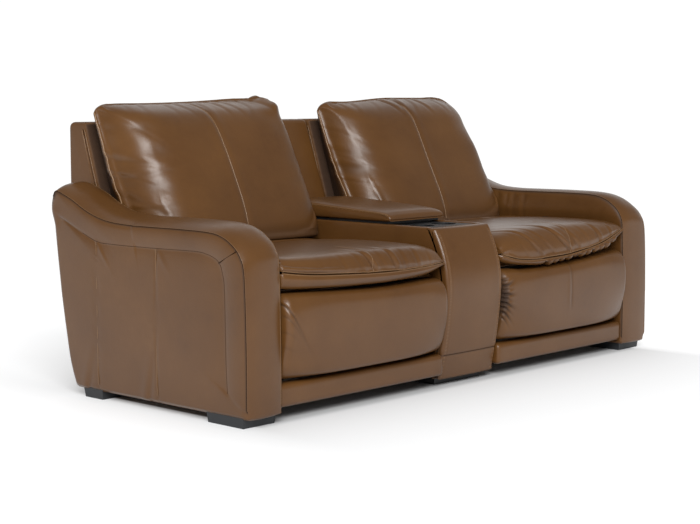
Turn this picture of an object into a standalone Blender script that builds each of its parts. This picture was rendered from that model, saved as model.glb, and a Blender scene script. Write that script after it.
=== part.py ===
"""Power reclining loveseat with a storage console between its two seats.

Metres, +Z up, front towards -Y, origin on the floor under the middle of the sofa.
Depths (d) are measured back from the front of the arms, heights (z) up from the floor,
and bay offsets inwards from the face of the arm or of the console beside a seat.
"""
import math

import bmesh
import bpy
from mathutils import Matrix, Vector

OBJECT_NAME = "reclining_console_loveseat"

# Whole sofa
WIDTH = 2.10
DEPTH = 1.04
NOSE_REACH = 0.045          # seat front edge ahead of the arm fronts
REAR_D = DEPTH - NOSE_REACH
FIT = 0.0003                # gap between pieces that touch
SOFT_GAP = 0.008            # moving upholstery beside a fixed panel
RAIL_GAP = 0.004            # fixed upholstered rail beside an arm or the console
PLATE_RUN = 0.0012          # side play between two steel plates that turn
BORE_PLAY = 0.0007          # radial play of a pin in its hole

# Arms and feet
ARM_WIDTH = 0.145
ARM_TOP = 0.588
ARM_REAR_TOP = 0.682
ARM_REAR_SET = 0.090        # rear of an arm ahead of the rear of the backs
ARM_LENGTH = REAR_D - ARM_REAR_SET
ARM_REAR_RUN = 0.105        # level stretch of the arm's top behind its sweep
ARM_SWEEP_RUN = 0.300
ARM_SWEEP_END = ARM_LENGTH - ARM_REAR_RUN
ARM_SWEEP_START = ARM_SWEEP_END - ARM_SWEEP_RUN
ARM_SWEEP_RADIUS = 0.45
ARM_RAKE = 0.115            # how far the rear edge comes forward at the bottom
ARM_FRONT_RADIUS = 0.105
ARM_REAR_RADIUS = 0.045
ARM_TOE_RADIUS = 0.020
ARM_EDGE = 0.030
FOOT_HEIGHT = 0.034
FOOT_INSET = 0.006          # feet inside the front and the sides of an arm
FOOT_TAPER = 0.004
FRONT_FOOT_LENGTH = 0.160
REAR_FOOT_LENGTH = 0.096
REAR_FOOT_SET = 0.035       # rear foot ahead of the arm's lower rear corner
REAR_FOOT_END = ARM_LENGTH - ARM_RAKE - REAR_FOOT_SET

# Console
CONSOLE_WIDTH = 0.294
CONSOLE_BOTTOM = 0.036
CONSOLE_TOP = 0.530
CONSOLE_PANEL = 0.028
CONSOLE_BELLY_Z = 0.300     # height where the front stands furthest forward
CONSOLE_BELLY_D = -0.012
CONSOLE_TOE_D = 0.018
CONSOLE_LIP_D = 0.054
CONSOLE_FRONT_THICK = 0.022
CONSOLE_FRONT_EDGE = 0.009
CONSOLE_FRONT_DROP = 0.008  # top of the front panel below the top of the sides
CONSOLE_SIDE_EDGE = 0.006
CLEAT_THICK = 0.014
CLEAT_HEIGHT = 0.015
PLINTH_HEIGHT = 0.090
PLINTH_FRONT = 0.060
BIN_BOTTOM = 0.250
BIN_WALL = 0.004
BIN_FRONT = 0.268
TRAY_SLAB = 0.016
TRAY_REAR = 0.262
TRAY_DROP = 0.004           # tray face below the top of the sides
CUP_RADIUS = 0.043
CUP_WALL = 0.003
CUP_DEPTH = 0.072
CUP_PITCH = 0.112
POST_DEPTH = 0.2647
POST_FRONT = REAR_D - POST_DEPTH
POST_SHELF_Z = 0.525
BIN_REAR_GAP = 0.0303       # bin ahead of the back post
BIN_REAR = POST_FRONT - BIN_REAR_GAP
POST_TOP_DEPTH = 0.078
POST_EDGE = 0.014
POST_CORNER = 0.024
LID_FRONT = 0.247
LID_BASE_THICK = 0.008
LID_BASE_SET = 0.010        # lid base inside the edge of its pad
LID_SIDE_SET = 0.004        # lid pad inside the console's faces
LID_PAD_SIDE = 0.042        # height of the padded lid at its sides
LID_PAD_FRONT = 0.020       # height of the padded lid at its front edge
LID_CROWN = 0.012
LID_EDGE = 0.010
LID_BROW_RUN = 0.030        # brow of the lid behind its front edge
LID_TOP_RUN = 0.100         # start of its level top behind the front edge
LID_NAPE_RUN = 0.150        # end of its level top ahead of the rear edge
HINGE_Z = 0.5345
HINGE_PIN = 0.0035
HINGE_KNUCKLE = 0.0065
HINGE_LEAF = 0.003
HINGE_CLEARANCE = 0.0007    # knuckle clear of the back post
HINGE_D = POST_FRONT + HINGE_KNUCKLE + HINGE_CLEARANCE
LID_REAR_GAP = 0.004        # lid's rear edge ahead of the knuckles
LID_REAR = HINGE_D - HINGE_KNUCKLE - LID_REAR_GAP
HINGE_LEAF_GAP = 0.0015     # leaf behind the knuckles
HINGE_LEAF_WIDTH = 0.0325
HINGE_LEAF_START = HINGE_D + HINGE_KNUCKLE + HINGE_LEAF_GAP
HINGE_LEAF_END = HINGE_LEAF_START + HINGE_LEAF_WIDTH
POST_SHELF_MARGIN = 0.010   # shelf of the post behind the hinge's leaf
POST_SHELF_END = HINGE_LEAF_END + POST_SHELF_MARGIN
HINGE_SPACING = 0.045       # from one knuckle to the next
HINGE_KNUCKLE_LENGTH = 0.030

# Rails under each seat
FRONT_RAIL_BOTTOM = 0.042
FRONT_RAIL_TOP = 0.113
FRONT_RAIL_DEPTH = 0.045
REAR_RAIL_SET = 0.055       # rear rail ahead of the arm's lower rear corner
REAR_RAIL_DEPTH = 0.035
REAR_RAIL_FRONT = ARM_LENGTH - ARM_RAKE - REAR_RAIL_SET - REAR_RAIL_DEPTH
REAR_RAIL_BOTTOM = 0.040
REAR_RAIL_TOP = 0.172
RAIL_EDGE = 0.012
BASE_RAIL_BOTTOM = 0.062
BASE_RAIL_TOP = 0.122
BASE_RAIL_OFFSET = 0.020
BASE_RAIL_WIDTH = 0.034
BASE_RAIL_WALL = 0.004

# Back shell and the axis that it turns on
BACK_RAKE = math.radians(18.0)
SHELL_TOP = 0.877
SHELL_BOTTOM = 0.285
SHELL_TOP_DEPTH = 0.0817
SHELL_WAIST_Z = 0.660       # the rear face leans forward below this height
SHELL_LEAN = 0.133          # how far the rear face comes forward at its foot
SHELL_FOOT_D = REAR_D - SHELL_LEAN
SHELL_CORNER = 0.024
SHELL_EDGE = 0.014
BRACKET_EAR = 0.020
BRACKET_ROUND = 0.018
BRACKET_REACH = 0.0853      # recline axis ahead of the shell's front face
RECLINE_Z = 0.360
RECLINE_D = REAR_D - SHELL_TOP_DEPTH - math.tan(BACK_RAKE) * (SHELL_TOP - RECLINE_Z) - BRACKET_REACH

# Seat carriage
STEEL = 0.004               # thickness of the mechanism's plates
SIDE_PLATE_OFFSET = 0.0333
SIDE_PLATE_FRONT = 0.085
SIDE_PLATE_HEEL = 0.130
SIDE_PLATE_HEEL_RUN = 0.050 # plate's lower rear corner ahead of the recline axis
SIDE_PLATE_REAR = RECLINE_D - SIDE_PLATE_HEEL_RUN
SIDE_PLATE_NECK_Z = 0.265
SIDE_PLATE_CORNER = 0.012
SEAT_FRAME_BOTTOM = 0.345
SEAT_FRAME_THICK = 0.020
SEAT_FRAME_FRONT = 0.066
SEAT_FRAME_GAP = 0.012      # seat frame ahead of the ears of the back brackets
SEAT_FRAME_REAR = RECLINE_D - BRACKET_EAR - SEAT_FRAME_GAP
SEAT_RAIL_WIDTH = 0.045
SPRING_WIRE = 0.0026
SPRING_COUNT = 4
SPRING_BENDS = 7
SPRING_SWING = 0.024
SPRING_RUN = 0.4            # straight run of a bend, to each side of its middle, in pitches
SPRING_HOLD = 0.004         # spring end held inside its rail

# Seat cushion
CUSHION_LAP = 0.002         # cushion behind the seat frame's rear edge
CUSHION_REAR = SEAT_FRAME_REAR + CUSHION_LAP
CUSHION_STEP = 0.066        # where the underside steps up over the footrest
CUSHION_STEP_Z = 0.388
CUSHION_NOSE_Z = 0.430
CUSHION_CROWN_Z = 0.497
CUSHION_REAR_Z = 0.452
CUSHION_SIDE_FALL = 0.040
CUSHION_NOSE_FALL = 0.036
CUSHION_SIDE_POWER = 3      # how late the top falls away towards a side
CUSHION_LIP_D = 0.050       # rear end of the lip under the nose
CUSHION_LIP_RUN = 0.030     # front end of the lip behind the nose
CUSHION_LIP_RISE = 0.004
CUSHION_BROW_RUN = 0.020    # brow of the nose behind its tip
CUSHION_BROW_RISE = 0.014
CUSHION_CROWN_RUN = 0.090   # start of the crown behind the nose
CUSHION_MIDDLE_D = 0.288
CUSHION_DIP = 0.002
CUSHION_FALL_RUN = 0.130    # where the top starts to fall, ahead of the rear
CUSHION_FALL_RISE = 0.006
CUSHION_REAR_RUN = 0.030
CUSHION_REAR_ROLL = 0.022
CUSHION_EDGE = 0.016
SEAM_DEPTH = 0.006
SEAM_HALF = 0.030

# Back cushion
BACK_GUSSET = 0.066         # flank of the back cushion in front of the shell
BACK_CROWN = 0.200          # how far its belly stands in front of the flank
BACK_CUSHION_BOTTOM = 0.486
BACK_CUSHION_TOP = 0.958
BACK_CORNER_DROP = 0.040
BACK_CORNER_POWER = 8       # how late the top falls away towards a corner
BACK_CROWN_POWER = 5        # how late the belly goes back towards a side
# height as a share of the way up, and the belly there as a share of the full crown
BACK_PROFILE = ((0.03, 0.93), (0.12, 1.0), (0.28, 0.99), (0.44, 0.96),
                (0.60, 0.93), (0.76, 0.86), (0.89, 0.66))
BACK_BROW_SHARE = 0.34      # brow of the cushion as a share of its crown
BACK_BROW_DROP = 0.008
BACK_CREST_SHARE = 0.9      # crest in front of the shell as a share of the flank
BACK_NAPE_SET = 0.012
BACK_NAPE_DROP = 0.022
BACK_LAP_SET = 0.006        # where the cushion comes down onto the shell's top edge
BACK_LAP_RISE = 0.012
BACK_EDGE = 0.016

# Footrest
FOOT_PAD_TOP = 0.377
FOOT_PAD_BOTTOM = 0.124
FOOT_PAD_FRONT = -0.042
FOOT_PAD_END_SET = 0.020    # pad front further back at its ends
FOOT_PAD_REAR = 0.030
FOOT_PAD_EDGE = 0.014
FOOT_PAD_TOE = 0.010        # lower rear edge above the lowest point
FOOT_PAD_BROW = 0.008       # upper rear edge below the highest point
FOOT_PAD_END_POWER = 4      # how late the front goes back towards an end
# height as a share of the way up, and depth behind the front as a share of the thickness
FOOT_PROFILE = ((0.02, 0.72), (0.10, 0.42), (0.28, 0.10), (0.50, 0.0),
                (0.72, 0.02), (0.90, 0.22), (0.99, 0.62))
FOOT_BRACKET_DROP = 0.060
FOOT_BOARD_THICK = 0.015
FOOT_BOARD_SET = 0.020      # board inside the edges of its pad

# Linkage, in the plane of depth and height
CRANK_D = 0.105
CRANK_Z = 0.310
CRANK_ARM = 0.150
CRANK_ANGLE = math.radians(-62.0)
DRIVE_ARM = 0.100
DRIVE_ANGLE = math.radians(-30.0)
STRUT_LENGTH = 0.180
STRUT_ANGLE = math.radians(124.0)
LINK_EAR = 0.013
LINK_ROUND = 0.012
CRANK_EAR = 0.015
PIVOT_PIN = 0.006
DRIVE_TUBE = 0.010

# Drive under each seat
DRIVE_RAIL_LENGTH = 0.245
DRIVE_REAR_GAP = 0.068      # gearbox ahead of the seat frame's rear
DRIVE_RAIL_Z = 0.236
DRIVE_RAIL_WIDTH = 0.036
DRIVE_RAIL_HEIGHT = 0.028
MOTOR_LENGTH = 0.090
MOTOR_WIDTH = 0.080
MOTOR_HEIGHT = 0.085
DRIVE_RAIL_REAR = SEAT_FRAME_REAR - DRIVE_REAR_GAP - MOTOR_LENGTH
DRIVE_RAIL_FRONT = DRIVE_RAIL_REAR - DRIVE_RAIL_LENGTH
MOTOR_CAN_RADIUS = 0.026
MOTOR_CAN_LENGTH = 0.110
DRIVE_HANGER_WIDTH = 0.040
DRIVE_HANGER_THICK = 0.006

# Switch on the inner face of each arm
SWITCH_D = 0.300
SWITCH_Z = 0.476
SWITCH_LENGTH = 0.130
SWITCH_HEIGHT = 0.044
SWITCH_CORNER = 0.012
SWITCH_THICK = 0.005
ROCKER_LENGTH = 0.044
ROCKER_HEIGHT = 0.022
ROCKER_PLAY = 0.0006
ROCKER_STAND = 0.0025       # rocker proud of its plate
ROCKER_BACK = 0.0022        # free depth behind the rocker
ROCKER_BEVEL = 0.001

# Places worked out from the sizes above
ARM_FRONT_Y = NOSE_REACH - DEPTH / 2
BAY_OUT = WIDTH / 2 - ARM_WIDTH
BAY_IN = CONSOLE_WIDTH / 2
SEAT_FRAME_TOP = SEAT_FRAME_BOTTOM + SEAT_FRAME_THICK
CUSHION_BOTTOM = SEAT_FRAME_TOP + FIT
LINK_OFFSET = SIDE_PLATE_OFFSET + STEEL + PLATE_RUN
STRUT_OFFSET = LINK_OFFSET + STEEL + PLATE_RUN
FOOT_BRACKET_OFFSET = STRUT_OFFSET + STEEL + PLATE_RUN
PLATE_TOP = SEAT_FRAME_BOTTOM - FIT
PLATE_BOTTOM = BASE_RAIL_TOP + FIT
CONSOLE_INNER = BAY_IN - CONSOLE_PANEL - FIT
LID_BOTTOM = CONSOLE_TOP + FIT
LID_PAD_BOTTOM = LID_BOTTOM + LID_BASE_THICK + FIT
FOOT_BOARD_FRONT = FOOT_PAD_REAR + FIT
FOOT_BOARD_REAR = FOOT_BOARD_FRONT + FOOT_BOARD_THICK
TRAY_TOP = CONSOLE_TOP - TRAY_DROP
FILLET_SHARE = 0.49         # most of an edge that the arc at one of its ends may take
ARC_STEPS = 5
ROUND_SIDES = 16
PIN_SIDES = 12
CUP_SIDES = 24
HARD_SHADE = math.radians(35.0)
SOFT_SHADE = math.radians(50.0)
WELD = 0.00001
AXIS_CROSS = 0.05           # drawn size of an empty on a joint's axis


def clear_scene():
    for thing in list(bpy.data.objects):
        bpy.data.objects.remove(thing, do_unlink=True)


def new_collection(name):
    group = bpy.data.collections.new(name)
    bpy.context.scene.collection.children.link(group)
    return group


clear_scene()
PARTS = new_collection(OBJECT_NAME)
TOOLS = new_collection("tool_shapes")


def finish(name, colour, roughness, metallic=0.0):
    """Principled material with a colour given as linear red, green, blue."""
    made = bpy.data.materials.new(name)
    made.use_nodes = True
    shader = made.node_tree.nodes["Principled BSDF"]
    shader.inputs["Base Color"].default_value = (*colour, 1.0)
    shader.inputs["Roughness"].default_value = roughness
    shader.inputs["Metallic"].default_value = metallic
    return made


LEATHER = finish("saddle_brown_leather", (0.235, 0.115, 0.048), 0.42)
BLACK_PLASTIC = finish("black_moulded_plastic", (0.012, 0.012, 0.013), 0.45)
BLACK_STEEL = finish("black_enamelled_steel", (0.030, 0.030, 0.032), 0.40, 0.6)
ZINC = finish("zinc_plated_steel", (0.42, 0.42, 0.43), 0.35, 1.0)
PLYWOOD = finish("birch_plywood", (0.48, 0.33, 0.19), 0.65)


def depth(d):
    return ARM_FRONT_Y + d


def put(name, bm, material, group=PARTS):
    """Make an object of a bmesh whose vertices are already in their place in the sofa."""
    bmesh.ops.recalc_face_normals(bm, faces=bm.faces)
    if bm.calc_volume(signed=True) < 0:
        bmesh.ops.reverse_faces(bm, faces=bm.faces)
    mesh = bpy.data.meshes.new(name)
    bm.to_mesh(mesh)
    bm.free()
    made = bpy.data.objects.new(name, mesh)
    group.objects.link(made)
    if material is not None:
        mesh.materials.append(material)
    if group is TOOLS:
        made.hide_render = True
        made.display_type = "WIRE"
    return made


def shade_round(made, angle=HARD_SHADE):
    made.data.shade_smooth()
    made.data.set_sharp_from_angle(angle=angle)


def block(name, low, high, material, bevel=0.0, segments=2, group=PARTS):
    """Box between two corners, with its edges rounded by a Bevel modifier."""
    bm = bmesh.new()
    bmesh.ops.create_cube(bm, size=1.0)
    low, high = Vector(low), Vector(high)
    for vert in bm.verts:
        vert.co = Vector([low[i] + (vert.co[i] + 0.5) * (high[i] - low[i]) for i in range(3)])
    made = put(name, bm, material, group)
    if bevel:
        rounded = made.modifiers.new("rounded edges", "BEVEL")
        rounded.width = bevel
        rounded.segments = segments
    return made


def rod(name, start, end, radius, material, sides=ROUND_SIDES, group=PARTS):
    """Round bar between two points."""
    start, end = Vector(start), Vector(end)
    along = end - start
    turn = along.to_track_quat("Z", "Y").to_matrix().to_4x4()
    place = Matrix.Translation((start + end) / 2) @ turn
    bm = bmesh.new()
    bmesh.ops.create_cone(bm, cap_ends=True, segments=sides, radius1=radius, radius2=radius,
                          depth=along.length, matrix=place)
    made = put(name, bm, material, group)
    shade_round(made)
    return made


def combine(made, tool, operation):
    """Join a tool shape to a piece, or cut it away, with a Boolean modifier."""
    step = made.modifiers.new(f"{operation} {tool.name}".lower(), "BOOLEAN")
    step.object = tool
    step.operation = operation
    step.solver = "EXACT"


def fillet(corners, steps=ARC_STEPS):
    """Closed outline whose corners (d, z, radius) are rounded by arcs that their edges have room for."""
    outline = []
    count = len(corners)
    for i, (d, z, radius) in enumerate(corners):
        here = Vector((depth(d), z))
        before = Vector((depth(corners[i - 1][0]), corners[i - 1][1]))
        after = Vector((depth(corners[(i + 1) % count][0]), corners[(i + 1) % count][1]))
        a = (before - here).normalized()
        b = (after - here).normalized()
        if radius == 0.0:
            outline.append(here)
            continue
        half = a.angle(b) / 2
        room = FILLET_SHARE * min((before - here).length, (after - here).length)
        run = min(radius / math.tan(half), room)
        middle = here + (a + b).normalized() * run / math.cos(half)
        first = here + a * run - middle
        last = here + b * run - middle
        sweep = first.angle(last)
        pieces = max(1, round(steps * sweep / (math.pi / 2)))
        for k in range(pieces + 1):
            t = k / pieces * sweep
            outline.append(middle + (first * math.sin(sweep - t) + last * math.sin(t)) / math.sin(sweep))
    return outline


def smooth(points, steps):
    """Open Catmull-Rom curve through (d, z) points, with this many pieces between neighbours."""
    knots = [Vector((depth(d), z)) for d, z in points]
    knots = [knots[0]] + knots + [knots[-1]]
    curve = []
    for p0, p1, p2, p3 in zip(knots, knots[1:], knots[2:], knots[3:]):
        for k in range(steps):
            t = k / steps
            curve.append((2 * p1 + (p2 - p0) * t + (2 * p0 - 5 * p1 + 4 * p2 - p3) * t * t
                          + (3 * p1 - p0 - 3 * p2 + p3) * t ** 3) / 2)
    curve.append(knots[-1])
    return curve


def inset(outline, distance):
    """The outline moved inwards by a distance, along the normal at each point."""
    pairs = list(zip(outline, outline[1:] + outline[:1]))
    turn = math.copysign(1.0, sum(a.x * b.y - b.x * a.y for a, b in pairs))
    moved = []
    for i, here in enumerate(outline):
        along = (outline[(i + 1) % len(outline)] - outline[i - 1]).normalized()
        moved.append(here + turn * distance * Vector((-along.y, along.x)))
    return moved


def squeeze(outline, distance):
    """The outline drawn in towards its middle, by a distance where it reaches furthest out."""
    low = Vector((min(p.x for p in outline), min(p.y for p in outline)))
    high = Vector((max(p.x for p in outline), max(p.y for p in outline)))
    middle, size = (low + high) / 2, high - low
    return [Vector((middle.x + (p.x - middle.x) * (1 - 2 * distance / size.x),
                    middle.y + (p.y - middle.y) * (1 - 2 * distance / size.y))) for p in outline]


def rounded_stations(x0, x1, edge, inner=(), steps=3):
    """Places across X with the inset of the outline there: a quarter round at each end.

    inner gives further (x, inset) places between the ends.
    """
    places = []
    for k in range(steps + 1):
        angle = math.pi / 2 * k / steps
        places.append((edge * (1 - math.cos(angle)), edge * (1 - math.sin(angle))))
    start = [(x0 + run, drop) for run, drop in places]
    end = [(x1 - run, drop) for run, drop in reversed(places)]
    return start + list(inner) + end


def loft(name, stations, outline, material, sign=1, draw_in=squeeze):
    """Skin a closed outline that changes across X: outline(x) gives its points there.

    draw_in makes the outline smaller at a station: squeeze for full forms, inset for thin ones.
    """
    bm = bmesh.new()
    rings = []
    for x, drop in stations:
        points = draw_in(outline(x), drop)
        rings.append([bm.verts.new((sign * x, p.x, p.y)) for p in points])
    for ring, following in zip(rings, rings[1:]):
        for i in range(len(ring)):
            bm.faces.new((ring[i - 1], ring[i], following[i], following[i - 1]))
    bm.faces.new(rings[0])
    bm.faces.new(rings[-1])
    made = put(name, bm, material)
    shade_round(made, SOFT_SHADE)
    return made


def hull_outline(discs, steps=10):
    """Convex outline round discs (d, z, radius), as a plate with rounded ears has."""
    points = []
    for d, z, radius in discs:
        for k in range(steps):
            angle = 2 * math.pi * k / steps
            points.append((depth(d) + radius * math.cos(angle), z + radius * math.sin(angle)))
    points.sort()

    def chain(run):
        kept = []
        for p in run:
            while len(kept) > 1 and ((kept[-1][0] - kept[-2][0]) * (p[1] - kept[-2][1])
                                     <= (kept[-1][1] - kept[-2][1]) * (p[0] - kept[-2][0])):
                kept.pop()
            kept.append(p)
        return kept[:-1]

    return [Vector(p) for p in chain(points) + chain(points[::-1])]


def plate(name, outline, holes, xa, xb, material, group=PARTS):
    """Flat plate between xa and xb: an outline in depth and height with round holes (d, z, radius)."""
    low, high = sorted((xa, xb))
    shape = bpy.data.curves.new(name, "CURVE")
    shape.dimensions = "2D"
    shape.fill_mode = "BOTH"
    shape.extrude = (high - low) / 2
    rounds = [[Vector((depth(d) + r * math.cos(2 * math.pi * k / PIN_SIDES),
                       z + r * math.sin(2 * math.pi * k / PIN_SIDES))) for k in range(PIN_SIDES)]
              for d, z, r in holes]
    for loop in [outline] + rounds:
        spline = shape.splines.new("POLY")
        spline.points.add(len(loop) - 1)
        spline.use_cyclic_u = True
        for point, place in zip(spline.points, loop):
            point.co = (place.x, place.y, 0.0, 1.0)
    flat = bpy.data.objects.new(name + "_outline", shape)
    TOOLS.objects.link(flat)
    upright = Matrix(((0, 0, 1, (low + high) / 2), (1, 0, 0, 0), (0, 1, 0, 0), (0, 0, 0, 1)))
    bm = evaluated_bmesh(flat)
    bmesh.ops.transform(bm, matrix=upright, verts=bm.verts)
    bpy.data.objects.remove(flat)
    return put(name, bm, material, group)


def evaluated_bmesh(source):
    """The mesh that a curve object makes, with its caps welded on."""
    graph = bpy.context.evaluated_depsgraph_get()
    mesh = bpy.data.meshes.new_from_object(source.evaluated_get(graph))
    bm = bmesh.new()
    bm.from_mesh(mesh)
    bpy.data.meshes.remove(mesh)
    bmesh.ops.remove_doubles(bm, verts=bm.verts, dist=WELD)
    return bm


def axis_empty(name, place):
    empty = bpy.data.objects.new(name, None)
    empty.empty_display_size = AXIS_CROSS
    empty.location = place
    PARTS.objects.link(empty)
    return empty


def hang(pieces, empty):
    """Parent pieces to the empty on their joint's axis, without moving them."""
    for piece in pieces:
        piece.parent = empty
        piece.matrix_parent_inverse = Matrix.Translation(empty.location).inverted()


def polar(d, z, length, angle):
    return d + length * math.cos(angle), z + length * math.sin(angle)


ELBOW = polar(CRANK_D, CRANK_Z, CRANK_ARM, CRANK_ANGLE)
DRIVE_POINT = polar(CRANK_D, CRANK_Z, DRIVE_ARM, DRIVE_ANGLE)
FOOT_PIVOT = polar(*ELBOW, STRUT_LENGTH, STRUT_ANGLE)


def arm(side, sign):
    """Upholstered arm: rounded front, level top, a sweep up to the back and a raked rear edge."""
    outline = fillet([
        (0.0, FOOT_HEIGHT, ARM_TOE_RADIUS),
        (0.0, ARM_TOP, ARM_FRONT_RADIUS),
        (ARM_SWEEP_START, ARM_TOP, ARM_SWEEP_RADIUS),
        (ARM_SWEEP_END, ARM_REAR_TOP, ARM_SWEEP_RADIUS),
        (ARM_LENGTH, ARM_REAR_TOP, ARM_REAR_RADIUS),
        (ARM_LENGTH - ARM_RAKE, FOOT_HEIGHT, ARM_TOE_RADIUS),
    ], steps=6)
    stations = rounded_stations(BAY_OUT, WIDTH / 2, ARM_EDGE)
    loft(f"{side}_arm", stations, lambda x: outline, LEATHER, sign)


def foot(name, sign, front, length):
    """Low block foot under an arm, a little smaller at the floor."""
    bm = bmesh.new()
    bmesh.ops.create_cube(bm, size=1.0)
    half_width = ARM_WIDTH / 2 - FOOT_INSET
    middle_x = sign * (WIDTH - ARM_WIDTH) / 2
    for vert in bm.verts:
        shrink = FOOT_TAPER if vert.co.z < 0 else 0.0
        x = middle_x + math.copysign(half_width - shrink, vert.co.x)
        y = depth(front) + length / 2 + math.copysign(length / 2 - shrink, vert.co.y)
        vert.co = (x, y, 0.0 if vert.co.z < 0 else FOOT_HEIGHT - FIT)
    put(name, bm, BLACK_PLASTIC)


def feet(side, sign):
    foot(f"{side}_front_foot", sign, FOOT_INSET, FRONT_FOOT_LENGTH)
    foot(f"{side}_rear_foot", sign, REAR_FOOT_END - REAR_FOOT_LENGTH, REAR_FOOT_LENGTH)


def console_front_d(z):
    """Depth of the console's front at a height: two parabolas that meet at its belly."""
    if z > CONSOLE_BELLY_Z:
        run = (z - CONSOLE_BELLY_Z) / (CONSOLE_TOP - CONSOLE_BELLY_Z)
        return CONSOLE_BELLY_D + (CONSOLE_LIP_D - CONSOLE_BELLY_D) * run ** 2
    run = (CONSOLE_BELLY_Z - z) / (CONSOLE_BELLY_Z - CONSOLE_BOTTOM)
    return CONSOLE_BELLY_D + (CONSOLE_TOE_D - CONSOLE_BELLY_D) * run ** 2


def console_curve(bottom, top, back, pieces=10):
    """Points up the console's front curve, moved back by a distance."""
    heights = [bottom + (top - bottom) * k / pieces for k in range(pieces + 1)]
    return [Vector((depth(console_front_d(z) + back), z)) for z in heights]


def console():
    front_top = CONSOLE_TOP - CONSOLE_FRONT_DROP
    face = console_curve(CONSOLE_BOTTOM, front_top, 0.0)
    rear = console_curve(CONSOLE_BOTTOM, front_top, CONSOLE_FRONT_THICK)
    loft("console_front_panel", rounded_stations(-BAY_IN, BAY_IN, CONSOLE_FRONT_EDGE),
         lambda x: face + rear[::-1], LEATHER, draw_in=inset)

    tray_front = console_front_d(CONSOLE_TOP) + CONSOLE_FRONT_THICK + FIT
    edge = console_curve(CONSOLE_BOTTOM, front_top, CONSOLE_FRONT_THICK + FIT)
    corners = [Vector((depth(tray_front), CONSOLE_TOP)), Vector((depth(POST_FRONT - FIT), CONSOLE_TOP)),
               Vector((depth(POST_FRONT - FIT), CONSOLE_BOTTOM))]
    tray_seat = TRAY_TOP - TRAY_SLAB - FIT
    stations = rounded_stations(CONSOLE_INNER + FIT, BAY_IN, CONSOLE_SIDE_EDGE, steps=2)
    for side, sign in (("left", -1), ("right", 1)):
        panel = loft(f"console_{side}_side", stations, lambda x: edge + corners, LEATHER, sign, inset)
        for label, start, end, top in (("tray", tray_front, TRAY_REAR, tray_seat),
                                       ("bin", BIN_FRONT, BIN_REAR, BIN_BOTTOM - FIT)):
            low, high = sorted((sign * (BAY_IN - CONSOLE_PANEL / 2), sign * (CONSOLE_INNER - CLEAT_THICK)))
            cleat = block(f"console_{side}_{label}_cleat", (low, depth(start), top - CLEAT_HEIGHT),
                          (high, depth(end), top), None, group=TOOLS)
            combine(panel, cleat, "UNION")

    block("console_plinth", (-CONSOLE_INNER, depth(PLINTH_FRONT), 0.0),
          (CONSOLE_INNER, depth(POST_FRONT - FIT), PLINTH_HEIGHT), BLACK_PLASTIC)
    storage_bin()
    cup_tray(tray_front)
    back_post()
    lid()


def storage_bin():
    """Open-topped box that stands on the cleats of the console's sides."""
    top = CONSOLE_TOP - FIT
    made = block("storage_bin", (-CONSOLE_INNER, depth(BIN_FRONT), BIN_BOTTOM),
                 (CONSOLE_INNER, depth(BIN_REAR), top), BLACK_PLASTIC)
    half = CONSOLE_INNER - BIN_WALL
    room = block("storage_bin_room", (-half, depth(BIN_FRONT + BIN_WALL), BIN_BOTTOM + BIN_WALL),
                 (half, depth(BIN_REAR - BIN_WALL), top + BIN_WALL), None, group=TOOLS)
    combine(made, room, "DIFFERENCE")


def cup_tray(front):
    """Moulded tray with two cup wells that hang below its slab."""
    middle = (depth(front) + depth(TRAY_REAR)) / 2
    made = block("cup_tray", (-CONSOLE_INNER, depth(front), TRAY_TOP - TRAY_SLAB),
                 (CONSOLE_INNER, depth(TRAY_REAR), TRAY_TOP), BLACK_PLASTIC)
    for label, x in (("left", -CUP_PITCH / 2), ("right", CUP_PITCH / 2)):
        bottom = TRAY_TOP - CUP_DEPTH
        wall = rod(f"{label}_cup_wall", (x, middle, bottom - CUP_WALL), (x, middle, TRAY_TOP - TRAY_SLAB / 2),
                   CUP_RADIUS + CUP_WALL, None, sides=CUP_SIDES, group=TOOLS)
        combine(made, wall, "UNION")
    for label, x in (("left", -CUP_PITCH / 2), ("right", CUP_PITCH / 2)):
        well = rod(f"{label}_cup_well", (x, middle, TRAY_TOP - CUP_DEPTH), (x, middle, TRAY_TOP + CUP_WALL),
                   CUP_RADIUS, None, sides=CUP_SIDES, group=TOOLS)
        combine(made, well, "DIFFERENCE")


def back_post():
    """Fixed upholstered post between the two backs, behind the console."""
    top_front = REAR_D - POST_TOP_DEPTH
    outline = fillet([
        (POST_FRONT, CONSOLE_BOTTOM, 0.0),
        (POST_FRONT, POST_SHELF_Z, 0.0),
        (POST_SHELF_END, POST_SHELF_Z, 0.0),
        (top_front, SHELL_TOP, POST_CORNER),
        (REAR_D, SHELL_TOP, POST_CORNER),
        (REAR_D, SHELL_WAIST_Z, SHELL_CORNER),
        (SHELL_FOOT_D, SHELL_BOTTOM, SHELL_CORNER),
        (ARM_LENGTH - ARM_RAKE, CONSOLE_BOTTOM, POST_CORNER),
    ])
    half = BAY_IN - RAIL_GAP
    stations = rounded_stations(-half, half, POST_EDGE)
    loft("console_back_post", stations, lambda x: outline, LEATHER, draw_in=inset)


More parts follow.
